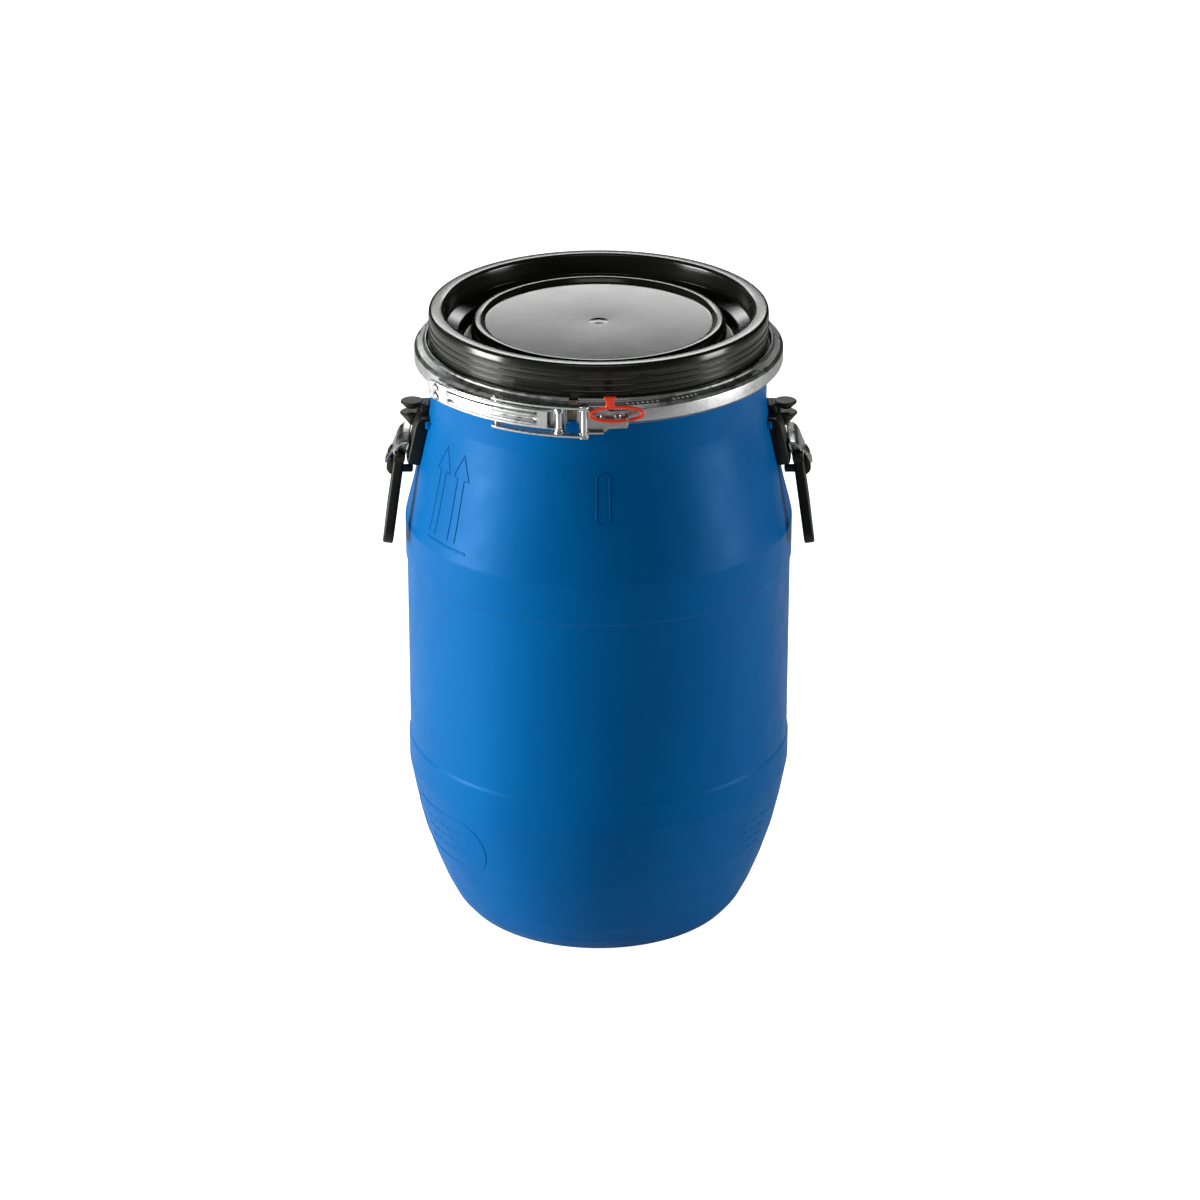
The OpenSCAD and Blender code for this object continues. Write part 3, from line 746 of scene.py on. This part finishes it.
def closure_ring():
    """Rolled band: upright wall and two lips over the flanges, the upper one with a bead near its edge."""
    up = RING_Z + RING_WALL
    down = RING_Z - RING_WALL
    path = [
        (RING_R - 9.6, up + 5.0, 0),
        (RING_R - 9.0, up + 5.9, 0.5),
        (RING_R - 7.6, up + 5.0, 0.8),
        (RING_R - 6.8, up + 3.6, 0.6),
        (RING_R - 2.4, up + 1.9, 0.6),
        (RING_R - 1.9, up + 1.5, 0.5),
        (RING_R, up - 0.6, 1.2),
        (RING_R, down + 0.6, 1.2),
        (RING_R - 1.9, down - 1.5, 0.8),
        (RING_R - 8.2, down - 4.6, 0.8),
        (RING_R - 9.6, down - 5.0, 0),
    ]
    line = rounded(path, 5, False)
    turn = 360 - (GAP[1] - GAP[0])
    rolled = lathe("ring_band", band(line[::-1], 1.3)[::-1], None, 256, GAP[1], turn)
    return join("ring_rolled", [rolled] + ring_dots())


# ---------------------------------------------------------------- lever closure

def arc_outline(r0, r1, a0, a1, round_ends=True, steps=40):
    """Outline in plan of a strip between two radii and two azimuths, in drum coordinates."""
    middle = (r0 + r1) / 2
    half = (r1 - r0) / 2
    end_steps = 12
    turns = [math.pi * i / end_steps for i in range(1, end_steps)] if round_ends else []

    def end(azimuth, way):
        """Half circle that closes the strip; way is 1 at its last azimuth and -1 at its first."""
        return [(middle + way * half * math.cos(t), azimuth + way * math.degrees(half * math.sin(t) / middle))
                for t in turns]

    points = [(r1, a0 + (a1 - a0) * i / steps) for i in range(steps + 1)] + end(a1, 1)
    points += [(r0, a1 + (a0 - a1) * i / steps) for i in range(steps + 1)] + end(a0, -1)
    return [turned(a, r, 0)[:2] for r, a in points]


def domed_head(r, z, height):
    """Profile of a peened head on a pin of radius r, from the height z where it starts."""
    wide = r + 1.3
    return [(r, z), (wide, z + 0.05), (wide, z + 0.5), (r + 0.5, z + 1.1), (0, z + height)]


def closure_pin(name, azimuth, radius, d, half, heads):
    """Upright pin with peened or domed ends, on a radius from the drum axis."""
    r = d / 2
    end = [(r, half - 0.4), (r - 0.4, half), (0, half)]
    if heads:
        end = domed_head(r, half, 1.25)
    profile = [(x, -z) for x, z in reversed(end)] + end
    return lathe(name, profile, place(azimuth, radius, LEVER_Z), 40, closed=False)


def link_pivots():
    """Two short pivots, one through each strap into the lever flange next to it."""
    items = []
    r = LINK_PIN_D / 2
    root = LEVER_HALF - 2.4
    profile = [(0, root), (r, root)] + domed_head(r, STRAP_OUT, 1.2)
    for n, side in enumerate((-1, 1)):
        spot = place(LINK_A, LINK_R, LEVER_Z) @ Matrix.Scale(side, 4, (0, 0, 1))
        items.append(lathe(f"pivot_{n}", profile, spot, 40, closed=False))
    return join("link_pivot_pair", items)


def smooth_step(t):
    """0 below 0, 1 above 1, and an even S-curve between."""
    t = min(max(t, 0.0), 1.0)
    return t * t * (3 - 2 * t)


def lever_face(u, v):
    """Point on the lever's outer face: u runs from the fulcrum to the tip, v from the lower edge up."""
    length = 121.0
    ribs_from, ribs_to = 0.06, 0.80
    tip_from, tip_close = 0.93, 0.93
    roll_from, roll_depth = 0.86, 3.6
    rib_at, rib_half, rib_rise = 0.42, 0.26, 1.7
    groove_half, groove_depth = 0.16, 0.9
    dome_u, dome_long, dome_high, dome_rise = 0.885, 4.3, 3.6, 2.1

    first = FULCRUM_A + 3.4
    side = 2 * v - 1
    tip = max(0.0, (u - tip_from) / (1 - tip_from))
    half = LEVER_HALF * math.sqrt(max(0.0, 1 - tip_close * tip * tip))
    roll = max(0.0, abs(side) - roll_from) / (1 - roll_from)
    r = LEVER_FACE_R - roll_depth * roll * roll
    along = smooth_step((u - ribs_from) / 0.05) * smooth_step((ribs_to - u) / 0.08)
    for middle in (-rib_at, rib_at):
        rib = max(0.0, 1 - ((side - middle) / rib_half) ** 2)
        r += rib_rise * along * smooth_step(rib)
    r -= groove_depth * along * smooth_step(1 - (side / groove_half) ** 2)
    for middle in (-rib_at, rib_at):
        away = ((u - dome_u) * length / dome_long) ** 2 + ((side - middle) * LEVER_HALF / dome_high) ** 2
        r += dome_rise * smooth_step(1 - away)
    return turned(first + (TIP_A - first) * u, r, LEVER_Z + half * side)


def lever():
    """Pressed channel along the ring: ribbed sheet with two domes, a flange above and below, and two eyes."""
    items = [surface("lever_plate", lever_face, 220, 48, 1.4)]
    flange = arc_outline(RING_R + 0.8, LEVER_FACE_R - 1.2, FULCRUM_A, TIP_A - 8, False)
    eye = arc(0, 0, 3.35, 0, 360, 32)[:-1]
    for n, side in enumerate((-1, 1)):
        edge = LEVER_Z + side * (LEVER_HALF - 0.9)
        items.append(bevel(slab(f"lever_flange_{n}", flange, edge - 0.7, edge + 0.7), 0.3, 2))
        ring = slab(f"lever_eye_{n}", eye, edge - 0.75, edge + 0.75, place(FULCRUM_A, PIN_R))
        items.append(bevel(ring, 0.3, 2))
    return join("lever_pressed", items)


def link_straps():
    """Two flat straps, above and below the lever, from the draw pin to the link pins."""
    items = []
    half = STRAP_T / 2
    eye_half = half - 0.02  # kept off the strap's own faces
    outline = arc_outline(PIN_R - 3.9, PIN_R + 3.5, DRAW_A, LINK_A - 0.2)
    eye = arc(0, 0, EAR_R, 0, 360, 32)[:-1]
    for n, side in enumerate((-1, 1)):
        z = LEVER_Z + side * (STRAP_OUT - half)
        items.append(bevel(slab(f"strap_{n}", outline, z - half, z + half), 0.45, 2))
        end = slab(f"strap_eye_{n}", eye, z - eye_half, z + eye_half, place(LINK_A, LINK_R))
        items.append(bevel(end, 0.4, 2))
    return join("link_pair", items)


def ear(name, azimuth, z, hook):
    """Flat ear about a pin, with its root on the ring; a hooked one is open towards the outside."""
    root = RING_R + 0.2 - PIN_R
    r = EAR_R
    if hook:
        bore = PIN_D / 2 + 0.3
        outline = [(root, -r), (0, -r)] + arc(0, 0, r, -90, -45, 6) + arc(0, 0, bore, -45, -300, 24)
        outline += arc(0, 0, r, 60, 90, 6) + [(0, r), (root, r)]
    else:
        outline = [(root, -r)] + arc(0, 0, r, -90, 90, 20) + [(root, r)]
    return bevel(slab(name, outline, z - SHEET / 2, z + SHEET / 2, place(azimuth, PIN_R)), 0.3, 2)


def ring_plate(name, a0, a1, half):
    """Curved plate lying on the ring between two azimuths."""
    outline = arc_outline(PLATE_R, PLATE_R + SHEET, a0, a1, False, 16)
    return bevel(slab(name, outline, LEVER_Z - half, LEVER_Z + half), 0.4, 2)


def ear_pair(name, azimuth, hook):
    """An ear above and an ear below the lever."""
    return [ear(f"{name}_{n}", azimuth, LEVER_Z + side * EAR_Z, hook) for n, side in enumerate((-1, 1))]


def fulcrum_bracket():
    """Two ears for the lever's pin on a plate, with a narrower tail riveted to the ring."""
    items = ear_pair("fulcrum_ear", FULCRUM_A, False)
    items.append(ring_plate("fulcrum_root", FULCRUM_A - 1.6, FULCRUM_A + 2.6, EAR_Z + SHEET / 2))
    items.append(ring_plate("fulcrum_tail", FULCRUM_A + 2.4, FULCRUM_A + 10, 6.0))
    return join("fulcrum_bracket_sheet", items)


def draw_plate(u, v):
    """Outer face of the draw bracket's plate, which widens from its tail to the ears."""
    tail_a, widen_a, widen_over = -8.6, -3.4, 2.2
    tail_half = 7.0
    full_half = EAR_Z + SHEET / 2
    a = tail_a + (DRAW_A + 1.6 - tail_a) * u
    half = tail_half + (full_half - tail_half) * smooth_step((a - widen_a) / widen_over)
    return turned(a, PLATE_R + SHEET, LEVER_Z + half * (2 * v - 1))


def seal_lug():
    """Flat lug that stands out of the draw bracket, with the hole for the seal."""
    half, tip = 3.3, 8.6
    lug = rounded([(0.5, -half, 0.5), (tip, -half, 2.5), (tip, half, 2.5), (0.5, half, 0.5)], 4)
    hole = arc(SEAL_R + 0.2 - RING_R, 0, 2.2, 180, -180, 24)
    spot = place(SEAL_LUG_A, RING_R, SEAL_Z - SEAL_HALF_H) @ QUARTER_X
    return slab("seal_lug", lug + [lug[0]] + hole, -0.8, 0.8, spot)


def draw_bracket():
    """Plate with two hooked ears, a flange folded out under them, and the lug for the seal."""
    items = ear_pair("draw_ear", DRAW_A, True)
    items.append(surface("draw_plate", draw_plate, 48, 6, SHEET))
    fold = arc_outline(RING_R + 0.3, PIN_R, -1.5, DRAW_A, False, 12)
    fold_z = LEVER_Z - EAR_Z
    items.append(bevel(slab("draw_fold", fold, fold_z - 0.78, fold_z + 0.78), 0.4, 2))
    items.append(seal_lug())
    return join("draw_bracket_sheet", items)


def gap_tongue():
    """Thin strip behind the ring wall that bridges the gap, and its turned-in upper edge."""
    outline = arc_outline(FLANGE_R + 0.55, FLANGE_R + 1.45, -2.5, GAP[1] + 3.2, False, 24)
    strip = bevel(slab("gap_strip", outline, RING_Z - 4.2, RING_Z + 4.2), 0.3, 2)
    edge = [(FLANGE_R + 1.3, RING_Z + 4.25), (RING_R - 9.0, RING_Z + RING_WALL + 3.65)]
    lip = lathe("gap_lip", band(edge, 0.4), None, 24, 1.0, GAP[1] + 2.0)
    return join("gap_strip_lip", [strip, lip])


def ring_rivets(name, azimuths):
    """Dome-headed rivets through a bracket plate into the ring."""
    items = []
    dome = [(0, 1.5), (1.2, 1.35), (2.1, 0.8), (2.6, 0.1), (1.4, 0.0), (1.4, -3), (0, -3)]
    for n, a in enumerate(azimuths):
        spot = place(a, PLATE_R + SHEET, RING_Z) @ QUARTER_Y
        items.append(lathe(f"{name}_{n}", dome, spot, 32))
    return join(name, items)


def seal():
    """Loop of the tamper seal with its flared pull tab."""
    to = place(SEAL_A, SEAL_R, SEAL_Z) @ QUARTER_Z @ QUARTER_X
    path = [(x, y, 0) for x, y in ellipse(SEAL_HALF_W, SEAL_HALF_H, 2.1)]
    loop = sweep("seal_loop", path, ellipse(1.3, 1.3, 2.6, 16), (0, 0, 1), True, to)
    x, y = SEAL_STEM, SEAL_HALF_H
    neck_half, neck_y = 2.7, y + 3.6
    top_half, top_y = 5.3, y + 8.5
    tab = rounded([
        (x - 4.6, y - 0.9, 1),
        (x + 4.2, y - 0.6, 1),
        (x + neck_half, neck_y, 3),
        (x + top_half, top_y, 1.2),
        (x - top_half, top_y, 1.2),
        (x - neck_half, neck_y, 3),
    ])
    flag = bevel(slab("seal_tab", tab, -1.2, 1.2, to), 0.5, 3)
    return join("seal_loop_tab", [loop, flag])


# ---------------------------------------------------------------- handles

def mirrored(side):
    """Identity for the right handle, mirror in X for the left."""
    return Matrix.Scale(-1, 4, (1, 0, 0)) if side < 0 else Matrix.Identity(4)


def at_pivot(side, y=0.0):
    """Frame on the axis of a handle's pin: local +X outward, local +Y up."""
    return mirrored(side) @ Matrix.Translation((PIVOT_X, y, PIVOT_Z)) @ QUARTER_X


def handle_tongues(tag, to):
    """Round tongue and cone-shaped tongue at the top of the pad, each on a flat root."""
    shapes = (
        ("disc", [(0, 1.6), (5, 1.6), (8.9, 5.6), (9.2, 6.8), (8.2, 7.6), (0, 7.6)], 2.2, 7.0),
        ("cone", [(0, -13.4), (1.8, -13.4), (9.4, -3.6), (10, -2.8), (9.0, -2.0), (0, -2.0)], -10.0, -2.6),
    )
    items = []
    spot = to @ Matrix.Translation((NECK_R + 15, 0, CONE_Z0))
    back, front = -11, -3
    for kind, profile, low, high in shapes:
        line = [(r, z, 0.6) if r else (r, z) for r, z in profile]
        items.append(lathe(f"tongue_{kind}_{tag}", rounded(line, 3), spot, 64))
        reach = profile[2][0] * 0.72
        root = [(back, -reach), (front, -reach), (front, reach), (back, reach)]
        items.append(bevel(slab(f"root_{kind}_{tag}", root, low, high, spot), 0.6, 2))
    return items


def handle_base(tag, side):
    """Pad curved to the shoulder, a narrow block over it, and the two tongues."""
    corners = [
        (cone_radius(CONE_Z0) + 0.2, CONE_Z0),
        (cone_radius(CONE_Z0) + PAD_T - 1.2, CONE_Z0, 5),
        (cone_radius(CONE_Z0 - 6) + PAD_T, CONE_Z0 - 6, 5),
        (cone_radius(PAD_LOW + 2.4) + PAD_T, PAD_LOW + 2.4, 1.5),
        (cone_radius(PAD_LOW) + 0.2, PAD_LOW),
    ]
    block = [
        (NECK_R + 2.6, CONE_Z0 - 2),
        (NECK_R + 1.0, CONE_Z0 + 6.2, 1),
        (NECK_R + 7.4, CONE_Z0 + 6.4, 3),
        (NECK_R + 8.6, CONE_Z0 - 2),
    ]
    to = mirrored(side)
    items = []
    block_half = 8.9
    for kind, line, half in (("pad", corners, PAD_HALF), ("block", block, block_half)):
        span = math.degrees(half / (NECK_R + PAD_T))
        part = lathe(f"{kind}_{tag}", rounded(line, 5), to, 32, -90 - span, 2 * span)
        items.append(bevel(part, 1.2, 3, 50))
    return join(f"handle_pad_{tag}", items + handle_tongues(tag, to))


def steel_half(z):
    """Half width of the steel bracket at a height: wide over the fold, narrow at the tip."""
    stops = [
        (PIVOT_Z - 14, 7.5),
        (PIVOT_Z - 1, 8.0),
        (PIVOT_Z + 4.8, CHEEK_OUT + 0.1),
        (PIVOT_Z + 6.7, STEEL_HALF),
    ]
    for (z0, w0), (z1, w1) in zip(stops, stops[1:]):
        if z <= z1:
            return w0 + (w1 - w0) * max(z - z0, 0) / (z1 - z0)
    return STEEL_HALF


def bent_sheet(name, path, half_at, thickness, to, step=0.8):
    """Sheet bent along a path of (x, z) points, its half width a function of the height."""
    line = [path[0]]
    for start, stop in zip(path, path[1:]):
        parts = max(1, int(math.dist(start, stop) / step))
        line += [tuple(s + (e - s) * k / parts for s, e in zip(start, stop)) for k in range(1, parts + 1)]
    count = len(line)
    under = band(line, thickness)[count:][::-1]
    verts = []
    for (x, z), (ux, uz) in zip(line, under):
        w = half_at(z)
        verts += [(x, -w, z), (x, w, z), (ux, w, uz), (ux, -w, uz)]
    faces = [(0, 1, 2, 3), tuple(4 * count - 4 + k for k in range(4))]
    for i in range(count - 1):
        for k in range(4):
            n = (k + 1) % 4
            faces.append((4 * i + k, 4 * i + n, 4 * i + 4 + n, 4 * i + 4 + k))
    return make(name, verts, faces, to)


def handle_bracket(tag, side):
    """Bent sheet: flange on the pad, flat top, sloping front down to a narrow tip, cheeks for the pin."""
    face = PAD_T + 0.3      # the flange's outer face over the cone
    low = PIVOT_Z - 3
    fold_x = cone_radius(FOLD_Z) + face
    path = [
        (cone_radius(low) + face, low, 0),
        (fold_x, FOLD_Z - 1.0, 1.2),
        (fold_x + 1.2, FOLD_Z, 1.2),
        (PIVOT_X - 2.5, FOLD_Z - 0.1, 3),
        (PIVOT_X + 0.8, FOLD_Z - 2.7, 4),
        (PIVOT_X + 12.4, FOLD_Z - 22.9, 0),
    ]
    sheet = bent_sheet(f"steel_{tag}", rounded(path, 6, False), steel_half, -1.5, mirrored(side))
    items = [bevel(sheet, 0.35, 2, 60)]
    half = SHEET / 2
    top, front_top = 11.5, 3.5
    cheek = rounded([
        (-HUB_R, top, 0),
        (-HUB_R, -HUB_R, 4.4),
        (HUB_R, -HUB_R, 4.4),
        (HUB_R, front_top, 0),
        (0.5, top, 0),
    ], 8)
    for n, end in enumerate((-1, 1)):
        spot = at_pivot(side, end * (CHEEK_OUT - half))
        items.append(bevel(slab(f"cheek_{tag}_{n}", cheek, -half, half, spot), 0.3, 2))
    return join(f"handle_steel_{tag}", items)


def handle_bumper(tag, side):
    """Plastic bumper under the tip of the steel, with the peg that holds it in the slot."""
    x, z = 4.8, -14.0       # middle of the round lobe, from the pivot
    under_steel = [(10.9, -10.2), (7.6, -4.2), (3.4, -8.8)]
    outline = arc(x, z, BUMPER_R, -190, 2, 24) + under_steel
    lobe = slab(f"bumper_{tag}", outline, -BUMPER_HALF, BUMPER_HALF, at_pivot(side))
    peg_half = 3
    peg = rounded([(a * peg_half, b * peg_half, 1) for a, b in ((-1, -1), (1, -1), (1, 1), (-1, 1))], 4)
    tilt = mirrored(side) @ Matrix.Translation((PIVOT_X + 6.8, 0, PIVOT_Z - 1.2))
    tilt = tilt @ Matrix.Rotation(math.radians(60), 4, "Y")
    items = [bevel(lobe, 0.9, 3), bevel(slab(f"peg_{tag}", peg, -3, 2.6, tilt), 0.4, 2)]
    return join(f"bumper_moulded_{tag}", items)


def handle_rivets(tag, side):
    """Two domed rivets through the bracket's flange and the pad into the wall."""
    items = []
    rivet_y = 8
    face = cone_radius(RIVET_Z) + PAD_T + 1.9
    dome = [(0, 1.4), (1.6, 1.2), (2.9, 0.6), (3.4, 0.0), (1.9, -0.1), (1.9, -12), (0, -12)]
    for n, y in enumerate((-rivet_y, rivet_y)):
        spot = mirrored(side) @ Matrix.Translation((face, y, RIVET_Z)) @ QUARTER_Y
        items.append(lathe(f"pad_rivet_{tag}_{n}", dome, spot, 32))
    return join(f"handle_rivet_pair_{tag}", items)


def handle_pin(tag, side):
    """Pin through the cheeks; its chamfered ends stop inside the bail's arms."""
    half = pin_high.y - 2.5
    r = HANDLE_PIN_R
    end = [(r, half - 0.5), (r - 0.5, half), (0, half)]
    profile = [(x, -z) for x, z in reversed(end)] + end
    return lathe(f"handle_axle_{tag}", profile, at_pivot(side), 40)


def bail(tag, side):
    """Moulded bail: splayed arms, rounded grip, hubs on the pin and a stop finger on each."""
    half_x, half_w = 4.2, HUB_W / 2
    wide = bail_high.y - half_w - 0.1
    lean = math.radians(BAIL_LEAN)
    drop = (PIVOT_Z - bail_low.z - 0.6) / math.cos(lean) - half_w
    half_line = [(HUB_Y, 3.8, 0), (HUB_Y, -3, 4), (wide, -drop + 5, 9), (wide - 6, -drop, 9)]
    corners = half_line + [(-y, z, r) for y, z, r in reversed(half_line)]
    path = [(0, y, z) for y, z in rounded(corners, 10, False)]
    section = rounded([
        (-half_w, -half_x, 2), (half_w, -half_x, 2), (half_w, half_x, 2), (-half_w, half_x, 2)], 4)
    leaning = mirrored(side) @ Matrix.Translation((PIVOT_X, 0, PIVOT_Z)) @ Matrix.Rotation(-lean, 4, "Y")
    items = [sweep(f"bail_bar_{tag}", path, section, (1, 0, 0), False, leaning)]

    bore = HANDLE_PIN_R + 0.05
    hub = rounded([(bore, -half_w, 0), (HUB_R, -half_w, 1), (HUB_R, half_w, 1), (bore, half_w, 0)], 4)
    back, front, low, high = -10.8, 0.5, -10.9, -6.5
    finger = rounded([(back, low, 1.5), (front, low, 0), (front, high, 0), (back, high, 1.5)], 4)
    for n, end in enumerate((-1, 1)):
        spot = at_pivot(side, end * HUB_Y)
        items.append(lathe(f"bail_hub_{tag}_{n}", hub, spot, 48))
        items.append(bevel(slab(f"bail_stop_{tag}_{n}", finger, -3.8, 3.8, spot), 0.7, 2))
    return join(f"bail_moulded_{tag}", items)


# ---------------------------------------------------------------- assembly

STEEL = "galvanised_steel"
BLUE = "hdpe_blue"
BLACK = "plastic_black"

dress(shell(), ROOT, BLUE, blue, "drum_shell")
dress(wall_marks(), ROOT, BLUE, blue)
dress(lid(), "lid_body", BLACK, black_lid, "lid")
dress(closure_ring(), "ring", STEEL, zinc, "closure_ring")
dress(lever(), "lever_body", STEEL, zinc_bright, "lever")
dress(link_straps(), "link", STEEL, zinc_bright, "link_straps")
dress(link_pivots(), "link", STEEL, zinc_bright, "link_pin")
draw_bolt = closure_pin("draw_bolt", DRAW_A, PIN_R, PIN_D, STRAP_OUT, True)
dress(draw_bolt, "link", STEEL, zinc_bright, "draw_pin")
fulcrum = closure_pin("fulcrum", FULCRUM_A, PIN_R, PIN_D, EAR_Z + SHEET / 2, False)
dress(fulcrum, "ring", STEEL, zinc_bright, "fulcrum_pin")
dress(fulcrum_bracket(), "ring", STEEL, zinc, "fulcrum_bracket")
dress(draw_bracket(), "ring", STEEL, zinc, "draw_bracket")
# the gap strip gets the darker copy of the zinc, with painted shade and a painted brown reflection in its
# colour
dress(gap_tongue(), "ring", STEEL, zinc_painted_reflection, "gap_tongue")
fulcrum_rivets = ring_rivets("fulcrum_rivets", (FULCRUM_A + 5, FULCRUM_A + 8.5))
dress(fulcrum_rivets, "ring", STEEL, zinc_bright, "fulcrum_bracket_rivets")
draw_rivets = ring_rivets("draw_rivets", (0.2, -5.6))
dress(draw_rivets, "ring", STEEL, zinc_bright, "draw_bracket_rivets")
dress(seal(), "ring", "plastic_red", red, "seal_tag")

for tag, side in (("left", -1), ("right", 1)):
    dress(handle_base(tag, side), ROOT, BLACK, black_bail, f"handle_base_{tag}")
    dress(handle_bracket(tag, side), ROOT, STEEL, zinc_bright, f"handle_bracket_{tag}")
    dress(handle_rivets(tag, side), ROOT, STEEL, zinc_bright, f"handle_rivets_{tag}")
    dress(handle_bumper(tag, side), ROOT, BLACK, black_bail, f"handle_bumper_{tag}")
    dress(handle_pin(tag, side), ROOT, STEEL, zinc_bright, f"handle_pin_{tag}")
    dress(bail(tag, side), f"bail_{tag}_body", BLACK, black_bail, f"bail_{tag}")

# the gasket keeps its CAD shape and gets a foam material
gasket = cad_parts["lid_gasket"]
gasket.data.materials.clear()
gasket.data.materials.append(foam)


# ---------------------------------------------------------------- stage, light and camera

def white_floor():
    """Plain floor that the camera sees as white."""
    material, nodes, links, main = shader("studio_white")
    main.inputs["Base Color"].default_value = (0.8, 0.8, 0.8, 1)
    main.inputs["Roughness"].default_value = 0.9
    main.inputs["Emission Color"].default_value = (1, 1, 1, 1)
    ray = nodes.new("ShaderNodeLightPath")
    links.new(ray.outputs["Is Camera Ray"], main.inputs["Emission Strength"])
    size = 4000
    corners = [(-size, -size, 0), (size, -size, 0), (size, size, 0), (-size, size, 0)]
    floor = make("studio_floor", corners, [(0, 1, 2, 3)])
    floor.data.materials.append(material)


def white_world():
    """Background that is white to the camera and gives the object almost no light."""
    seen, light_given = 1.2, 0.0025
    world = bpy.data.worlds.new("studio")
    bpy.context.scene.world = world
    world.use_nodes = True
    tree = world.node_tree
    background = tree.nodes["Background"]
    background.inputs["Color"].default_value = (1, 1, 1, 1)
    path = tree.nodes.new("ShaderNodeLightPath")
    mix = tree.nodes.new("ShaderNodeMapRange")
    mix.inputs["To Min"].default_value = light_given
    mix.inputs["To Max"].default_value = seen
    tree.links.new(path.outputs["Is Camera Ray"], mix.inputs["Value"])
    tree.links.new(mix.outputs["Result"], background.inputs["Strength"])


def softbox(name, place_m, target_m, width, height, power):
    """Rectangular lamp in metres, aimed at a point and hidden from the camera."""
    light = bpy.data.lights.new(name, "AREA")
    light.shape = "RECTANGLE"
    light.size = width
    light.size_y = height
    light.energy = power
    item = bpy.data.objects.new(name, light)
    item.location = place_m
    item.rotation_euler = (Vector(target_m) - Vector(place_m)).to_track_quat("-Z", "Y").to_euler()
    item.visible_camera = False
    bpy.context.scene.collection.objects.link(item)


def photo_camera():
    """Camera at the photograph's angle: in front, above, and level from side to side."""
    elevation = math.radians(23.85)
    distance = 3.5
    target_z = 0.263
    data = bpy.data.cameras.new("camera")
    data.sensor_width = 36.0
    data.lens = 129.78
    data.shift_x = 0.00108
    camera = bpy.data.objects.new("camera", data)
    camera.location = (0, -distance * math.cos(elevation), target_z + distance * math.sin(elevation))
    camera.rotation_euler = (math.pi / 2 - elevation, 0, 0)
    bpy.context.scene.collection.objects.link(camera)
    bpy.context.scene.camera = camera
    bpy.context.scene.view_settings.view_transform = "Standard"


white_floor()
white_world()
softbox("key_left", (-2.2, -0.48, 0.55), (0, 0, 0.28), 0.9, 1.2, 100)
softbox("fill_right", (2.2, -0.4, 0.6), (0, 0, 0.28), 0.7, 1.1, 34)
softbox("back_top", (-0.1, 2.1, 1.5), (0, 0, 0.5), 1.8, 0.34, 14)
softbox("overhead", (0, -0.9, 2.4), (0, 0, 0.4), 1.2, 0.8, 5)
photo_camera()
